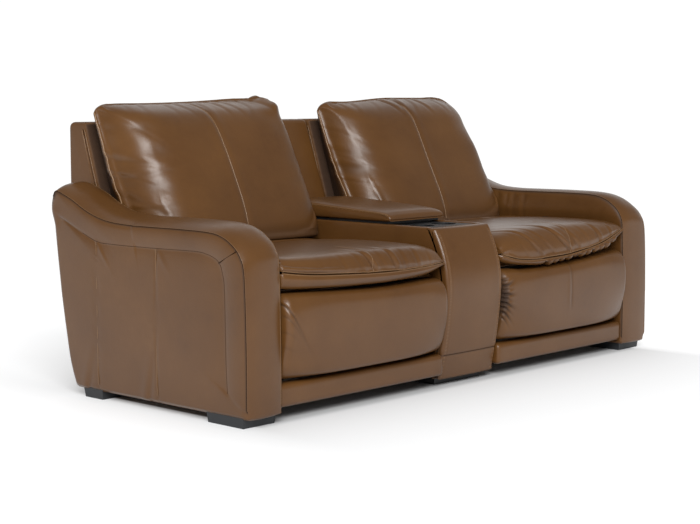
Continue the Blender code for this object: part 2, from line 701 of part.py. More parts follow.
def lid():
    """Padded console lid on a moulded base, hinged at its rear on a pinned leaf."""
    half = BAY_IN - LID_SIDE_SET
    top = LID_PAD_BOTTOM + LID_PAD_SIDE

    def section(x):
        crown = LID_CROWN * (1 - (x / half) ** 2)
        front = LID_PAD_BOTTOM + LID_PAD_FRONT + crown / 2
        upper = smooth([(LID_FRONT, LID_PAD_BOTTOM + LID_EDGE), (LID_FRONT + LID_EDGE, front),
                        (LID_FRONT + LID_BROW_RUN, (front + top + crown) / 2),
                        (LID_FRONT + LID_TOP_RUN, top - LID_EDGE / 2 + crown),
                        (LID_REAR - LID_NAPE_RUN, top + crown),
                        (LID_REAR - LID_EDGE, top - LID_EDGE / 2 + crown / 2),
                        (LID_REAR, top - 2 * LID_EDGE)], 2)
        return upper + [Vector((depth(LID_REAR), LID_PAD_BOTTOM)),
                        Vector((depth(LID_FRONT + LID_EDGE), LID_PAD_BOTTOM))]

    places = [(half * k / 3, 0.0) for k in (-2, -1, 0, 1, 2)]
    pad = loft("lid_pad", rounded_stations(-half, half, LID_EDGE, places, steps=2), section, LEATHER)

    base_half = half - LID_BASE_SET
    base = block("lid_base", (-base_half, depth(LID_FRONT + LID_BASE_SET), LID_BOTTOM),
                 (base_half, depth(LID_REAR), LID_BOTTOM + LID_BASE_THICK), BLACK_PLASTIC)
    leaf_top = POST_SHELF_Z + FIT + HINGE_LEAF
    reach = 2 * HINGE_SPACING + HINGE_KNUCKLE_LENGTH / 2
    hinge = block("lid_hinge", (-reach, depth(HINGE_LEAF_START), POST_SHELF_Z + FIT),
                  (reach, depth(HINGE_LEAF_END), leaf_top), ZINC)
    pin_end = reach + FIT
    pin = rod("lid_hinge_pin", (-pin_end, depth(HINGE_D), HINGE_Z), (pin_end, depth(HINGE_D), HINGE_Z),
              HINGE_PIN, None, PIN_SIDES, TOOLS)
    for k in range(-2, 3):
        x0 = k * HINGE_SPACING - HINGE_KNUCKLE_LENGTH / 2
        x1 = x0 + HINGE_KNUCKLE_LENGTH
        knuckle = rod(f"knuckle_{k + 2}", (x0, depth(HINGE_D), HINGE_Z), (x1, depth(HINGE_D), HINGE_Z),
                      HINGE_KNUCKLE, None, PIN_SIDES, TOOLS)
        if k % 2:
            tab_start = depth(LID_REAR) - LID_BASE_THICK
            tab = block(f"knuckle_{k + 2}_tab", (x0, tab_start, HINGE_Z - HINGE_LEAF / 2),
                        (x1, depth(HINGE_D), HINGE_Z + HINGE_LEAF / 2), None, group=TOOLS)
            combine(base, tab, "UNION")
            combine(base, knuckle, "UNION")
        else:
            tab = block(f"knuckle_{k + 2}_tab", (x0, depth(HINGE_D), POST_SHELF_Z + FIT),
                        (x1, depth(HINGE_LEAF_START) + HINGE_LEAF, leaf_top), None, group=TOOLS)
            combine(hinge, tab, "UNION")
            combine(hinge, knuckle, "UNION")
    bore = rod("lid_hinge_bore", (-reach, depth(HINGE_D), HINGE_Z), (reach, depth(HINGE_D), HINGE_Z),
               HINGE_PIN + BORE_PLAY, None, PIN_SIDES, TOOLS)
    combine(base, bore, "DIFFERENCE")
    combine(hinge, pin, "UNION")
    hang([pad, base], axis_empty("lid_axis", (0.0, depth(HINGE_D), HINGE_Z)))


def bay_x(sign, end, offset):
    """World X of a bay offset, measured in from the arm (outer) or from the console (inner)."""
    return sign * (BAY_OUT - offset if end == "outer" else BAY_IN + offset)


def rails(side, sign):
    """Fixed rails under a seat: two upholstered cross rails and two steel channels between them."""
    for name, start, run, bottom, top in (
            ("front_rail", 0.0, FRONT_RAIL_DEPTH, FRONT_RAIL_BOTTOM, FRONT_RAIL_TOP),
            ("rear_rail", REAR_RAIL_FRONT, REAR_RAIL_DEPTH, REAR_RAIL_BOTTOM, REAR_RAIL_TOP)):
        outline = fillet([(start, bottom, RAIL_EDGE), (start, top, RAIL_EDGE),
                          (start + run, top, RAIL_EDGE), (start + run, bottom, RAIL_EDGE)], steps=3)
        stations = rounded_stations(BAY_IN + FIT, BAY_OUT - FIT, RAIL_EDGE / 2, steps=2)
        loft(f"{side}_{name}", stations, lambda x, shape=outline: shape, LEATHER, sign)
    for end in ("outer", "inner"):
        channel(f"{side}_{end}_base_rail", sign, end)


def channel(name, sign, end):
    """Steel channel that lies on its side, open towards the middle of the seat."""
    lip = BASE_RAIL_OFFSET + BASE_RAIL_WIDTH
    x0, x1 = sorted((bay_x(sign, end, BASE_RAIL_OFFSET), bay_x(sign, end, lip)))
    start, stop = depth(FRONT_RAIL_DEPTH + FIT), depth(REAR_RAIL_FRONT - FIT)
    made = block(name, (x0, start, BASE_RAIL_BOTTOM), (x1, stop, BASE_RAIL_TOP), BLACK_STEEL)
    web = BASE_RAIL_OFFSET + BASE_RAIL_WALL
    g0, g1 = sorted((bay_x(sign, end, web), bay_x(sign, end, lip + BASE_RAIL_WALL)))
    groove = block(name + "_groove", (g0, start - BASE_RAIL_WALL, BASE_RAIL_BOTTOM + BASE_RAIL_WALL),
                   (g1, stop + BASE_RAIL_WALL, BASE_RAIL_TOP - BASE_RAIL_WALL), None, group=TOOLS)
    combine(made, groove, "DIFFERENCE")


def pinned_plate(name, sign, end, offset, outline, holes=(), pins=()):
    """Steel plate at a bay offset, with holes and with pins that end flush with the next plate."""
    made = plate(name, outline, [(d, z, PIVOT_PIN + BORE_PLAY) for d, z in holes],
                 bay_x(sign, end, offset), bay_x(sign, end, offset + STEEL), BLACK_STEEL)
    for number, (d, z) in enumerate(pins):
        start = (bay_x(sign, end, offset + STEEL / 2), depth(d), z)
        stop = (bay_x(sign, end, offset + 2 * STEEL + PLATE_RUN), depth(d), z)
        pin = rod(f"{name}_pin_{number}", start, stop, PIVOT_PIN, None, PIN_SIDES, TOOLS)
        combine(made, pin, "UNION")
    return made


def side_plate(side, sign, end):
    """Mechanism side plate: slides on the base rail, carries the seat frame and both pivots."""
    ear = RECLINE_Z + BRACKET_EAR
    outline = fillet([
        (SIDE_PLATE_HEEL, PLATE_BOTTOM, SIDE_PLATE_CORNER / 2),
        (SIDE_PLATE_REAR, PLATE_BOTTOM, SIDE_PLATE_CORNER),
        (RECLINE_D + BRACKET_EAR, RECLINE_Z - BRACKET_EAR, BRACKET_EAR),
        (RECLINE_D + BRACKET_EAR, ear, SIDE_PLATE_CORNER),
        (RECLINE_D - BRACKET_EAR, ear, SIDE_PLATE_CORNER),
        (SEAT_FRAME_REAR + FIT, PLATE_TOP, 0.0),
        (SIDE_PLATE_FRONT, PLATE_TOP, SIDE_PLATE_CORNER / 2),
        (SIDE_PLATE_FRONT, CRANK_Z - CRANK_EAR, SIDE_PLATE_CORNER),
        (SIDE_PLATE_HEEL, SIDE_PLATE_NECK_Z, SIDE_PLATE_CORNER),
    ])
    return pinned_plate(f"{side}_{end}_side_plate", sign, end, SIDE_PLATE_OFFSET, outline,
                        pins=[(CRANK_D, CRANK_Z), (RECLINE_D, RECLINE_Z)])


def seat_frame(side, sign):
    """Welded seat frame of four flat rails, with sinuous springs from front to rear."""
    x0, x1 = BAY_IN + SOFT_GAP, BAY_OUT - SOFT_GAP
    low, high = sorted((sign * x0, sign * x1))
    made = block(f"{side}_seat_frame", (low, depth(SEAT_FRAME_FRONT), SEAT_FRAME_BOTTOM),
                 (high, depth(SEAT_FRAME_REAR), SEAT_FRAME_TOP), BLACK_STEEL)
    window = block(f"{side}_seat_frame_window",
                   (low + SEAT_RAIL_WIDTH, depth(SEAT_FRAME_FRONT) + SEAT_RAIL_WIDTH,
                    SEAT_FRAME_BOTTOM - SEAT_FRAME_THICK),
                   (high - SEAT_RAIL_WIDTH, depth(SEAT_FRAME_REAR) - SEAT_RAIL_WIDTH,
                    SEAT_FRAME_TOP + SEAT_FRAME_THICK), None, group=TOOLS)
    combine(made, window, "DIFFERENCE")
    combine(made, springs(f"{side}_seat_springs", sign), "UNION")
    return made


def springs(name, sign):
    """Sinuous spring wires: each a square wave of bends from the front rail to the rear rail."""
    start = SEAT_FRAME_FRONT + SEAT_RAIL_WIDTH
    stop = SEAT_FRAME_REAR - SEAT_RAIL_WIDTH
    first = BAY_IN + SOFT_GAP + SEAT_RAIL_WIDTH
    span = BAY_OUT - SOFT_GAP - SEAT_RAIL_WIDTH - first
    z = SEAT_FRAME_BOTTOM + SEAT_FRAME_THICK / 2
    pitch = (stop - start) / (SPRING_BENDS + 1)
    wire = bpy.data.curves.new(name, "CURVE")
    wire.dimensions = "3D"
    wire.bevel_depth = SPRING_WIRE
    wire.bevel_resolution = 0
    wire.use_fill_caps = True
    for number in range(SPRING_COUNT):
        x = sign * (first + span * (number + 0.5) / SPRING_COUNT)
        route = [(x, start - SPRING_HOLD), (x, start + pitch / 2)]
        for bend in range(SPRING_BENDS):
            swing = SPRING_SWING if bend % 2 else -SPRING_SWING
            middle = start + pitch * (bend + 1)
            route += [(x + swing, middle - pitch * SPRING_RUN), (x + swing, middle + pitch * SPRING_RUN)]
        route += [(x, stop - pitch / 2), (x, stop + SPRING_HOLD)]
        spline = wire.splines.new("POLY")
        spline.points.add(len(route) - 1)
        for point, (px, d) in zip(spline.points, route):
            point.co = (px, depth(d), z, 1.0)
    bent = bpy.data.objects.new(name + "_routes", wire)
    TOOLS.objects.link(bent)
    bm = evaluated_bmesh(bent)
    bpy.data.objects.remove(bent)
    return put(name, bm, None, TOOLS)


def seam_stations(x0, x1, edge, count):
    """Stations across a cushion with a shallow groove at its sewn middle seam."""
    middle = (x0 + x1) / 2
    places = []
    for k in range(1, count):
        x = x0 + edge + (middle - SEAM_HALF - x0 - edge) * k / count
        places.append((x, 0.0))
    groove = [(middle - SEAM_HALF, 0.0), (middle, SEAM_DEPTH), (middle + SEAM_HALF, 0.0)]
    mirrored = [(2 * middle - x, drop) for x, drop in reversed(places)]
    return rounded_stations(x0, x1, edge, places + groove + mirrored, steps=2)


def seat_cushion(side, sign):
    """Crowned seat cushion: its nose rolls over the front and its sides fall away."""
    x0, x1 = BAY_IN + SOFT_GAP, BAY_OUT - SOFT_GAP
    middle, half = (x0 + x1) / 2, (x1 - x0) / 2

    def section(x):
        out = abs((x - middle) / half) ** CUSHION_SIDE_POWER
        crown = CUSHION_CROWN_Z - CUSHION_SIDE_FALL * out
        rear = CUSHION_REAR_Z - CUSHION_SIDE_FALL / 2 * out
        nose = CUSHION_NOSE_FALL * out - NOSE_REACH
        points = [
            (CUSHION_LIP_D, CUSHION_STEP_Z),
            (nose + CUSHION_LIP_RUN, CUSHION_STEP_Z + CUSHION_LIP_RISE),
            (nose, CUSHION_NOSE_Z),
            (nose + CUSHION_BROW_RUN, (CUSHION_NOSE_Z + crown) / 2 + CUSHION_BROW_RISE),
            (nose + CUSHION_CROWN_RUN, crown),
            (CUSHION_MIDDLE_D, crown - CUSHION_DIP),
            (CUSHION_REAR - CUSHION_FALL_RUN, (crown + rear) / 2 + CUSHION_FALL_RISE),
            (CUSHION_REAR - CUSHION_REAR_RUN, rear),
            (CUSHION_REAR, rear - CUSHION_REAR_ROLL),
        ]
        return smooth(points, 2) + [Vector((depth(CUSHION_REAR), CUSHION_BOTTOM)),
                                    Vector((depth(CUSHION_STEP), CUSHION_BOTTOM))]

    return loft(f"{side}_seat_cushion", seam_stations(x0, x1, CUSHION_EDGE, 5), section, LEATHER, sign)


def shell_front_d(z):
    """Depth of the back shell's raked front face at a height."""
    return REAR_D - SHELL_TOP_DEPTH - math.tan(BACK_RAKE) * (SHELL_TOP - z)


def back_shell(side, sign):
    """Upholstered frame of a back: raked front, upright rear that leans in below the waist."""
    outline = fillet([
        (shell_front_d(SHELL_BOTTOM), SHELL_BOTTOM, SHELL_CORNER),
        (shell_front_d(SHELL_TOP), SHELL_TOP, SHELL_CORNER),
        (REAR_D, SHELL_TOP, SHELL_CORNER),
        (REAR_D, SHELL_WAIST_Z, SHELL_CORNER),
        (SHELL_FOOT_D, SHELL_BOTTOM, SHELL_CORNER),
    ])
    stations = rounded_stations(BAY_IN + SOFT_GAP, BAY_OUT - SOFT_GAP, SHELL_EDGE)
    return loft(f"{side}_back_shell", stations, lambda x: outline, LEATHER, sign)


def back_cushion(side, sign):
    """Overstuffed back cushion: a flank along the shell and a deep belly that closes over the top."""
    x0, x1 = BAY_IN + SOFT_GAP, BAY_OUT - SOFT_GAP
    middle, half = (x0 + x1) / 2, (x1 - x0) / 2
    seat_z = SHELL_TOP - SHELL_CORNER

    def section(x):
        out = abs((x - middle) / half)
        crown = BACK_CROWN * math.sqrt(max(0.0, 1 - out ** BACK_CROWN_POWER))
        top = BACK_CUSHION_TOP - BACK_CORNER_DROP * out ** BACK_CORNER_POWER
        points = [(shell_front_d(BACK_CUSHION_BOTTOM) - FIT, BACK_CUSHION_BOTTOM)]
        for up, swell in BACK_PROFILE:
            z = BACK_CUSHION_BOTTOM + (top - BACK_CUSHION_BOTTOM) * up
            points.append((shell_front_d(z) - BACK_GUSSET - crown * swell, z))
        points += [
            (shell_front_d(top) - BACK_GUSSET - crown * BACK_BROW_SHARE, top - BACK_BROW_DROP),
            (shell_front_d(top) - BACK_GUSSET * BACK_CREST_SHARE, top),
            (shell_front_d(top) - BACK_NAPE_SET, top - BACK_NAPE_DROP),
            (shell_front_d(SHELL_TOP) - BACK_LAP_SET, SHELL_TOP + BACK_LAP_RISE),
            (shell_front_d(seat_z) - FIT, seat_z),
        ]
        return smooth(points, 2)

    return loft(f"{side}_back_cushion", seam_stations(x0, x1, BACK_EDGE, 5), section, LEATHER, sign)


def back_bracket(side, sign, end):
    """Steel ear that carries a back on its recline pin, fastened to the front of the shell."""
    top, bottom = RECLINE_Z + BRACKET_EAR, RECLINE_Z - BRACKET_EAR
    outline = fillet([
        (RECLINE_D - BRACKET_EAR, bottom, BRACKET_ROUND),
        (shell_front_d(bottom) - FIT, bottom, 0.0),
        (shell_front_d(top + BRACKET_EAR) - FIT, top + BRACKET_EAR, 0.0),
        (RECLINE_D, top, 0.0),
        (RECLINE_D - BRACKET_EAR, top, BRACKET_ROUND),
    ])
    return pinned_plate(f"{side}_{end}_back_bracket", sign, end, LINK_OFFSET, outline,
                        holes=[(RECLINE_D, RECLINE_Z)])


def footrest_pad(side, sign):
    """D-shaped footrest pad, fullest in the middle of its width."""
    x0, x1 = BAY_IN + SOFT_GAP, BAY_OUT - SOFT_GAP
    middle, half = (x0 + x1) / 2, (x1 - x0) / 2
    height = FOOT_PAD_TOP - FOOT_PAD_BOTTOM

    def section(x):
        out = abs((x - middle) / half) ** FOOT_PAD_END_POWER
        front = FOOT_PAD_FRONT + FOOT_PAD_END_SET * out
        points = [(FOOT_PAD_REAR, FOOT_PAD_BOTTOM + FOOT_PAD_TOE)]
        for up, back in FOOT_PROFILE:
            points.append((front + back * (FOOT_PAD_REAR - front), FOOT_PAD_BOTTOM + up * height))
        points.append((FOOT_PAD_REAR, FOOT_PAD_TOP - FOOT_PAD_BROW))
        return smooth(points, 2)

    places = [(middle + half * k / 4, 0.0) for k in range(-3, 4)]
    return loft(f"{side}_footrest_pad", rounded_stations(x0, x1, FOOT_PAD_EDGE, places, steps=2),
                section, LEATHER, sign)


def footrest_board(side, sign):
    x0 = BAY_IN + SOFT_GAP + FOOT_BOARD_SET
    x1 = BAY_OUT - SOFT_GAP - FOOT_BOARD_SET
    low, high = sorted((sign * x0, sign * x1))
    return block(f"{side}_footrest_board", (low, depth(FOOT_BOARD_FRONT), FOOT_PAD_BOTTOM + FOOT_BOARD_SET),
                 (high, depth(FOOT_BOARD_REAR), FOOT_PAD_TOP - FOOT_BOARD_SET), PLYWOOD)


def footrest_bracket(side, sign, end):
    """Steel ear on the back of the footrest board, on the pin at the end of the strut."""
    d, z = FOOT_PIVOT
    face = FOOT_BOARD_REAR + FIT
    outline = fillet([
        (face, z - FOOT_BRACKET_DROP, 0.0),
        (face, z + LINK_EAR, 0.0),
        (d + LINK_EAR, z + LINK_EAR, LINK_ROUND),
        (d + LINK_EAR, z - LINK_EAR, LINK_ROUND),
    ])
    return pinned_plate(f"{side}_{end}_footrest_bracket", sign, end, FOOT_BRACKET_OFFSET, outline,
                        holes=[FOOT_PIVOT])


def crank(side, sign):
    """Footrest crank: a three-eared plate at each side, welded to one drive tube."""
    outline = hull_outline([(CRANK_D, CRANK_Z, CRANK_EAR), (*ELBOW, LINK_EAR), (*DRIVE_POINT, CRANK_EAR)])
    made = pinned_plate(f"{side}_footrest_crank", sign, "outer", LINK_OFFSET, outline,
                        holes=[(CRANK_D, CRANK_Z)], pins=[ELBOW])
    other = plate(f"{side}_inner_crank_plate", outline, [(CRANK_D, CRANK_Z, PIVOT_PIN + BORE_PLAY)],
                  bay_x(sign, "inner", LINK_OFFSET), bay_x(sign, "inner", LINK_OFFSET + STEEL), None, TOOLS)
    start = (bay_x(sign, "inner", LINK_OFFSET + STEEL / 2), depth(ELBOW[0]), ELBOW[1])
    stop = (bay_x(sign, "inner", LINK_OFFSET + 2 * STEEL + PLATE_RUN), depth(ELBOW[0]), ELBOW[1])
    pin = rod(f"{side}_inner_crank_pin", start, stop, PIVOT_PIN, None, PIN_SIDES, TOOLS)
    tube_y, tube_z = depth(DRIVE_POINT[0]), DRIVE_POINT[1]
    tube = rod(f"{side}_drive_tube", (bay_x(sign, "inner", LINK_OFFSET + STEEL / 2), tube_y, tube_z),
               (bay_x(sign, "outer", LINK_OFFSET + STEEL / 2), tube_y, tube_z),
               DRIVE_TUBE, None, PIN_SIDES, TOOLS)
    for tool in (tube, other, pin):
        combine(made, tool, "UNION")
    return made


def strut(side, sign, end):
    outline = hull_outline([(*ELBOW, LINK_EAR), (*FOOT_PIVOT, LINK_EAR)])
    return pinned_plate(f"{side}_{end}_footrest_strut", sign, end, STRUT_OFFSET, outline,
                        holes=[ELBOW], pins=[FOOT_PIVOT])


def drive(side, sign):
    """Linear drive under the seat: a screw rail, its gearbox and the motor can beside it."""
    x = sign * (BAY_IN + BAY_OUT) / 2
    half_rail, half_box = DRIVE_RAIL_WIDTH / 2, MOTOR_WIDTH / 2
    low_z, high_z = DRIVE_RAIL_Z - DRIVE_RAIL_HEIGHT / 2, DRIVE_RAIL_Z + DRIVE_RAIL_HEIGHT / 2
    made = block(f"{side}_recline_drive", (x - half_rail, depth(DRIVE_RAIL_FRONT), low_z),
                 (x + half_rail, depth(DRIVE_RAIL_REAR) + MOTOR_LENGTH / 2, high_z), BLACK_PLASTIC)
    box_front = depth(DRIVE_RAIL_REAR)
    half_height = MOTOR_HEIGHT / 2
    gearbox = block(f"{side}_gearbox", (x - half_box, box_front, DRIVE_RAIL_Z - half_height),
                    (x + half_box, box_front + MOTOR_LENGTH, DRIVE_RAIL_Z + half_height), None, group=TOOLS)
    can_y = box_front + MOTOR_LENGTH / 2
    can_end = x + half_box + MOTOR_CAN_LENGTH
    can = rod(f"{side}_motor_can", (x, can_y, DRIVE_RAIL_Z), (can_end, can_y, DRIVE_RAIL_Z),
              MOTOR_CAN_RADIUS, None, ROUND_SIDES, TOOLS)
    hanger_y = depth(SEAT_FRAME_REAR) - SEAT_RAIL_WIDTH
    half_hanger = DRIVE_HANGER_WIDTH / 2
    hanger = block(f"{side}_drive_hanger", (x - half_hanger, hanger_y, DRIVE_RAIL_Z),
                   (x + half_hanger, hanger_y + DRIVE_HANGER_THICK, SEAT_FRAME_BOTTOM - FIT),
                   None, group=TOOLS)
    bar_end = hanger_y + DRIVE_HANGER_THICK / 2
    arm_bar = block(f"{side}_drive_hanger_arm", (x - half_hanger, can_y, DRIVE_RAIL_Z),
                    (x + half_hanger, bar_end, DRIVE_RAIL_Z + DRIVE_HANGER_THICK), None, group=TOOLS)
    for tool in (gearbox, can, hanger, arm_bar):
        combine(made, tool, "UNION")
    return made


def switch(side, sign):
    """Switch plate on the inner face of an arm, with one rocker that swings about an upright pin."""
    half, rise = SWITCH_LENGTH / 2, SWITCH_HEIGHT / 2
    outline = fillet([
        (SWITCH_D - half, SWITCH_Z - rise, SWITCH_CORNER), (SWITCH_D - half, SWITCH_Z + rise, SWITCH_CORNER),
        (SWITCH_D + half, SWITCH_Z + rise, SWITCH_CORNER), (SWITCH_D + half, SWITCH_Z - rise, SWITCH_CORNER),
    ], steps=3)
    face = sign * (BAY_OUT - FIT - SWITCH_THICK)
    made = plate(f"{side}_switch_plate", outline, [], sign * (BAY_OUT - FIT), face, BLACK_PLASTIC)
    y, half_y, half_z = depth(SWITCH_D), ROCKER_LENGTH / 2, ROCKER_HEIGHT / 2
    near, far = sorted((face, sign * BAY_OUT))
    window = block(f"{side}_switch_window",
                   (near - SWITCH_THICK, y - half_y - ROCKER_PLAY, SWITCH_Z - half_z - ROCKER_PLAY),
                   (far + SWITCH_THICK, y + half_y + ROCKER_PLAY, SWITCH_Z + half_z + ROCKER_PLAY),
                   None, group=TOOLS)
    combine(made, window, "DIFFERENCE")
    low, high = sorted((sign * (BAY_OUT - ROCKER_BACK), face - sign * ROCKER_STAND))
    rocker = block(f"{side}_switch_rocker", (low, y - half_y, SWITCH_Z - half_z),
                   (high, y + half_y, SWITCH_Z + half_z), BLACK_PLASTIC, bevel=ROCKER_BEVEL)
    axis = axis_empty(f"{side}_switch_axis", (face, y, SWITCH_Z))
    hang([rocker], axis)


def seat(side, sign):
    """One recliner: its sliding carriage, its footrest linkage and its back."""
    x = sign * (BAY_IN + BAY_OUT) / 2
    carriage = [side_plate(side, sign, end) for end in ("outer", "inner")]
    carriage += [seat_frame(side, sign), seat_cushion(side, sign), drive(side, sign)]
    hang(carriage, axis_empty(f"{side}_carriage", (x, depth(SIDE_PLATE_HEEL), PLATE_BOTTOM)))
    hang([crank(side, sign)], axis_empty(f"{side}_crank_axis", (x, depth(CRANK_D), CRANK_Z)))
    struts = [strut(side, sign, end) for end in ("outer", "inner")]
    hang(struts, axis_empty(f"{side}_strut_axis", (x, depth(ELBOW[0]), ELBOW[1])))
    footrest = [footrest_pad(side, sign), footrest_board(side, sign)]
    footrest += [footrest_bracket(side, sign, end) for end in ("outer", "inner")]
    hang(footrest, axis_empty(f"{side}_footrest_axis", (x, depth(FOOT_PIVOT[0]), FOOT_PIVOT[1])))
    back = [back_shell(side, sign), back_cushion(side, sign)]
    back += [back_bracket(side, sign, end) for end in ("outer", "inner")]
    hang(back, axis_empty(f"{side}_recline_axis", (x, depth(RECLINE_D), RECLINE_Z)))


def build():
    for side, sign in (("left", -1), ("right", 1)):
        arm(side, sign)
        feet(side, sign)
        rails(side, sign)
        seat(side, sign)
        switch(side, sign)
    console()
    for empty in PARTS.objects:
        if empty.type == "EMPTY" and empty.name.endswith("_axis"):
            print(empty.name, [round(value, 5) for value in empty.location])


build()
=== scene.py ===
"""Looks of the reclining console loveseat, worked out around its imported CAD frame.

Metres, +Z up, front towards -Y. Depths are measured back from the front of the arms, as in the part's source.
Cushions, rails, footrests, back frames, lid and console covers are lofts: outlines in depth and height that stand
side by side across X. An arm is two panels with a band between them.
"""
import math

import bpy
import numpy as np
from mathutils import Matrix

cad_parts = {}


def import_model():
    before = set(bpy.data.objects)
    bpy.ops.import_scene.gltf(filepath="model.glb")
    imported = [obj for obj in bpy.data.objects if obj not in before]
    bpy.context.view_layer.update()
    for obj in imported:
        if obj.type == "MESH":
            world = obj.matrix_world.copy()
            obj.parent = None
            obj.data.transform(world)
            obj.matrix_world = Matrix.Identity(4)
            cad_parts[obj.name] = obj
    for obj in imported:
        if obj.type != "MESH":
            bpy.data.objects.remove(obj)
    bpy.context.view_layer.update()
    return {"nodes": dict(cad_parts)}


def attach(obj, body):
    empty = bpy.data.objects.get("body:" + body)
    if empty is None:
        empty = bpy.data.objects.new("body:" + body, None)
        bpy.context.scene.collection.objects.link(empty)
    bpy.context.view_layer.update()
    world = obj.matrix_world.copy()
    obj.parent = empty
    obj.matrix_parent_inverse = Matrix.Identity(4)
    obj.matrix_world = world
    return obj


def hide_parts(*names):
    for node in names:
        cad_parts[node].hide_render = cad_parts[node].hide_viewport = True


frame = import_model()

FRONT_Y = -0.475            # world Y of the arm fronts
HALF_WIDTH = 1.05           # outer face of an arm
BAY_OUT = 0.905             # inner face of an arm
BAY_IN = 0.147              # outer face of the console
SEAT_MID = (BAY_OUT + BAY_IN) / 2
SEAT_HALF = 0.371           # half the width of a cushion
REAR_D = 1.008              # depth of the backs' rear face
SHELL_TOP = 0.877           # height of the back shells
SHELL_TOP_D = 0.9133        # depth of their raked front face at the top
SHELL_SLOPE = math.tan(math.radians(18.0))
REARWARD = (0.0, 1.0, 0.0)
SIDES = (("left", -1.0), ("right", 1.0))

WELDS = 1e5                 # points that agree to a hundredth of a millimetre are one
PILLOW_WIDE = 0.004         # share by which a pillow's cover is cut wide
PILLOW_PRESSURE = 6.0
BACK_CAP, SEAT_CAP = 0.010, 0.008   # most that the simulation moves a point of a back or seat cushion
SETTLE_FRAMES = 20
STITCH_SIDES = 6
FLOOR_RADIUS = 2.6
FLOOR_POINTS = 96

SEWING = {}                 # grids of seams and stitches by body and material


def linear(code):
    """Linear red, green, blue and alpha of an sRGB hex colour."""
    parts = np.array([int(code[i:i + 2], 16) for i in (1, 3, 5)]) / 255
    low, high = parts / 12.92, ((parts + 0.055) / 1.055) ** 2.4
    return (*np.where(parts <= 0.04045, low, high).tolist(), 1.0)


def node(tree, kind, inputs=None, **settings):
    """Add a shader node of a kind with its settings; inputs are numbers, colours or sockets to link from."""
    made = tree.nodes.new("ShaderNode" + kind)
    for name, value in settings.items():
        setattr(made, name, value)
    for socket, value in (inputs or {}).items():
        if isinstance(value, bpy.types.NodeSocket):
            tree.links.new(value, made.inputs[socket])
        else:
            made.inputs[socket].default_value = value
    return made


def new_material(name, colour, roughness, **values):
    """Principled material, with further sockets by name; gives its tree, shader and coordinates too."""
    made = bpy.data.materials.new(name)
    made.use_nodes = True
    tree = made.node_tree
    shader = tree.nodes["Principled BSDF"]
    shader.inputs["Base Color"].default_value = colour
    shader.inputs["Roughness"].default_value = roughness
    for socket, value in values.items():
        shader.inputs[socket.replace("_", " ")].default_value = value
    place = node(tree, "TexCoord").outputs["Object"]
    return made, tree, shader, place


def leather(name, low, high):
    """Cowhide: drum-dyed brown with cloudy pull-up tones, a fine pebble and a top coat of varying roughness.

    The painted shade attribute of a piece darkens the hide as painted shade in its folds, tucks, hollows and seam
    grooves, and dulls it there.
    """
    made, tree, shader, place = new_material(name, linear("#57381a"), low, Specular_IOR_Level=0.42)
    # clouds of 200 mm with flecks of 22 mm
    clouds = node(tree, "TexNoise", {"Vector": place, "Scale": 5.0, "Detail": 4.0, "Roughness": 0.55})
    hide = node(tree, "ValToRGB", {"Fac": clouds.outputs["Fac"]})
    for stop, position, code in zip(hide.color_ramp.elements, (0.30, 0.72), ("#4d3014", "#62411f")):
        stop.position = position
        stop.color = linear(code)
    flecks = node(tree, "TexNoise", {"Vector": place, "Scale": 46.0, "Detail": 3.0})
    worn = node(tree, "Mix", {"Factor": flecks.outputs["Fac"], "A": hide.outputs["Color"],
                                        "B": linear("#58391a")}, data_type="RGBA")
    crease = node(tree, "Attribute", attribute_name="crease").outputs["Fac"]
    # painted shade: the hide mixed towards a dark brown by the piece's painted shade attribute
    dark = node(tree, "Mix", {"Factor": crease, "A": worn.outputs["Result"], "B": linear("#24160d")},
                data_type="RGBA")
    tree.links.new(dark.outputs["Result"], shader.inputs["Base Color"])
    sheen = node(tree, "MapRange", {"Value": flecks.outputs["Fac"], "To Min": low, "To Max": high})
    dull = node(tree, "Math", {0: crease, 1: 0.5, 2: sheen.outputs["Result"]}, operation="MULTIPLY_ADD")
    tree.links.new(dull.outputs["Value"], shader.inputs["Roughness"])
    # pebble of 2.4 mm over stretch lines of 9 mm
    pebble = node(tree, "TexVoronoi", {"Vector": place, "Scale": 420.0}, feature="DISTANCE_TO_EDGE")
    stretch = node(tree, "TexNoise", {"Vector": place, "Scale": 110.0, "Detail": 5.0})
    fine = node(tree, "Bump", {"Strength": 0.16, "Distance": 0.0006, "Height": pebble.outputs["Distance"]})
    grain = node(tree, "Bump", {"Strength": 0.14, "Distance": 0.0012, "Height": stretch.outputs["Fac"],
                                          "Normal": fine.outputs["Normal"]})
    tree.links.new(grain.outputs["Normal"], shader.inputs["Normal"])
    return made


def grained(name, code, roughness, grit_mm, depth_mm, **values):
    """Finish with a fine grit: one colour, roughness in clouds of 70 mm, and a bump of the grit's size."""
    made, tree, shader, place = new_material(name, linear(code), roughness, **values)
    grit = node(tree, "TexNoise", {"Vector": place, "Scale": 1000.0 / grit_mm, "Detail": 3.0})
    clouds = node(tree, "TexNoise", {"Vector": place, "Scale": 14.0, "Detail": 2.0})
    tone = node(tree, "MapRange", {"Value": clouds.outputs["Fac"], "To Min": roughness - 0.06,
                                             "To Max": roughness + 0.08})
    tree.links.new(tone.outputs["Result"], shader.inputs["Roughness"])
    bump = node(tree, "Bump", {"Strength": 0.3, "Distance": depth_mm / 1000.0,
                                         "Height": grit.outputs["Fac"]})
    tree.links.new(bump.outputs["Normal"], shader.inputs["Normal"])
    return made


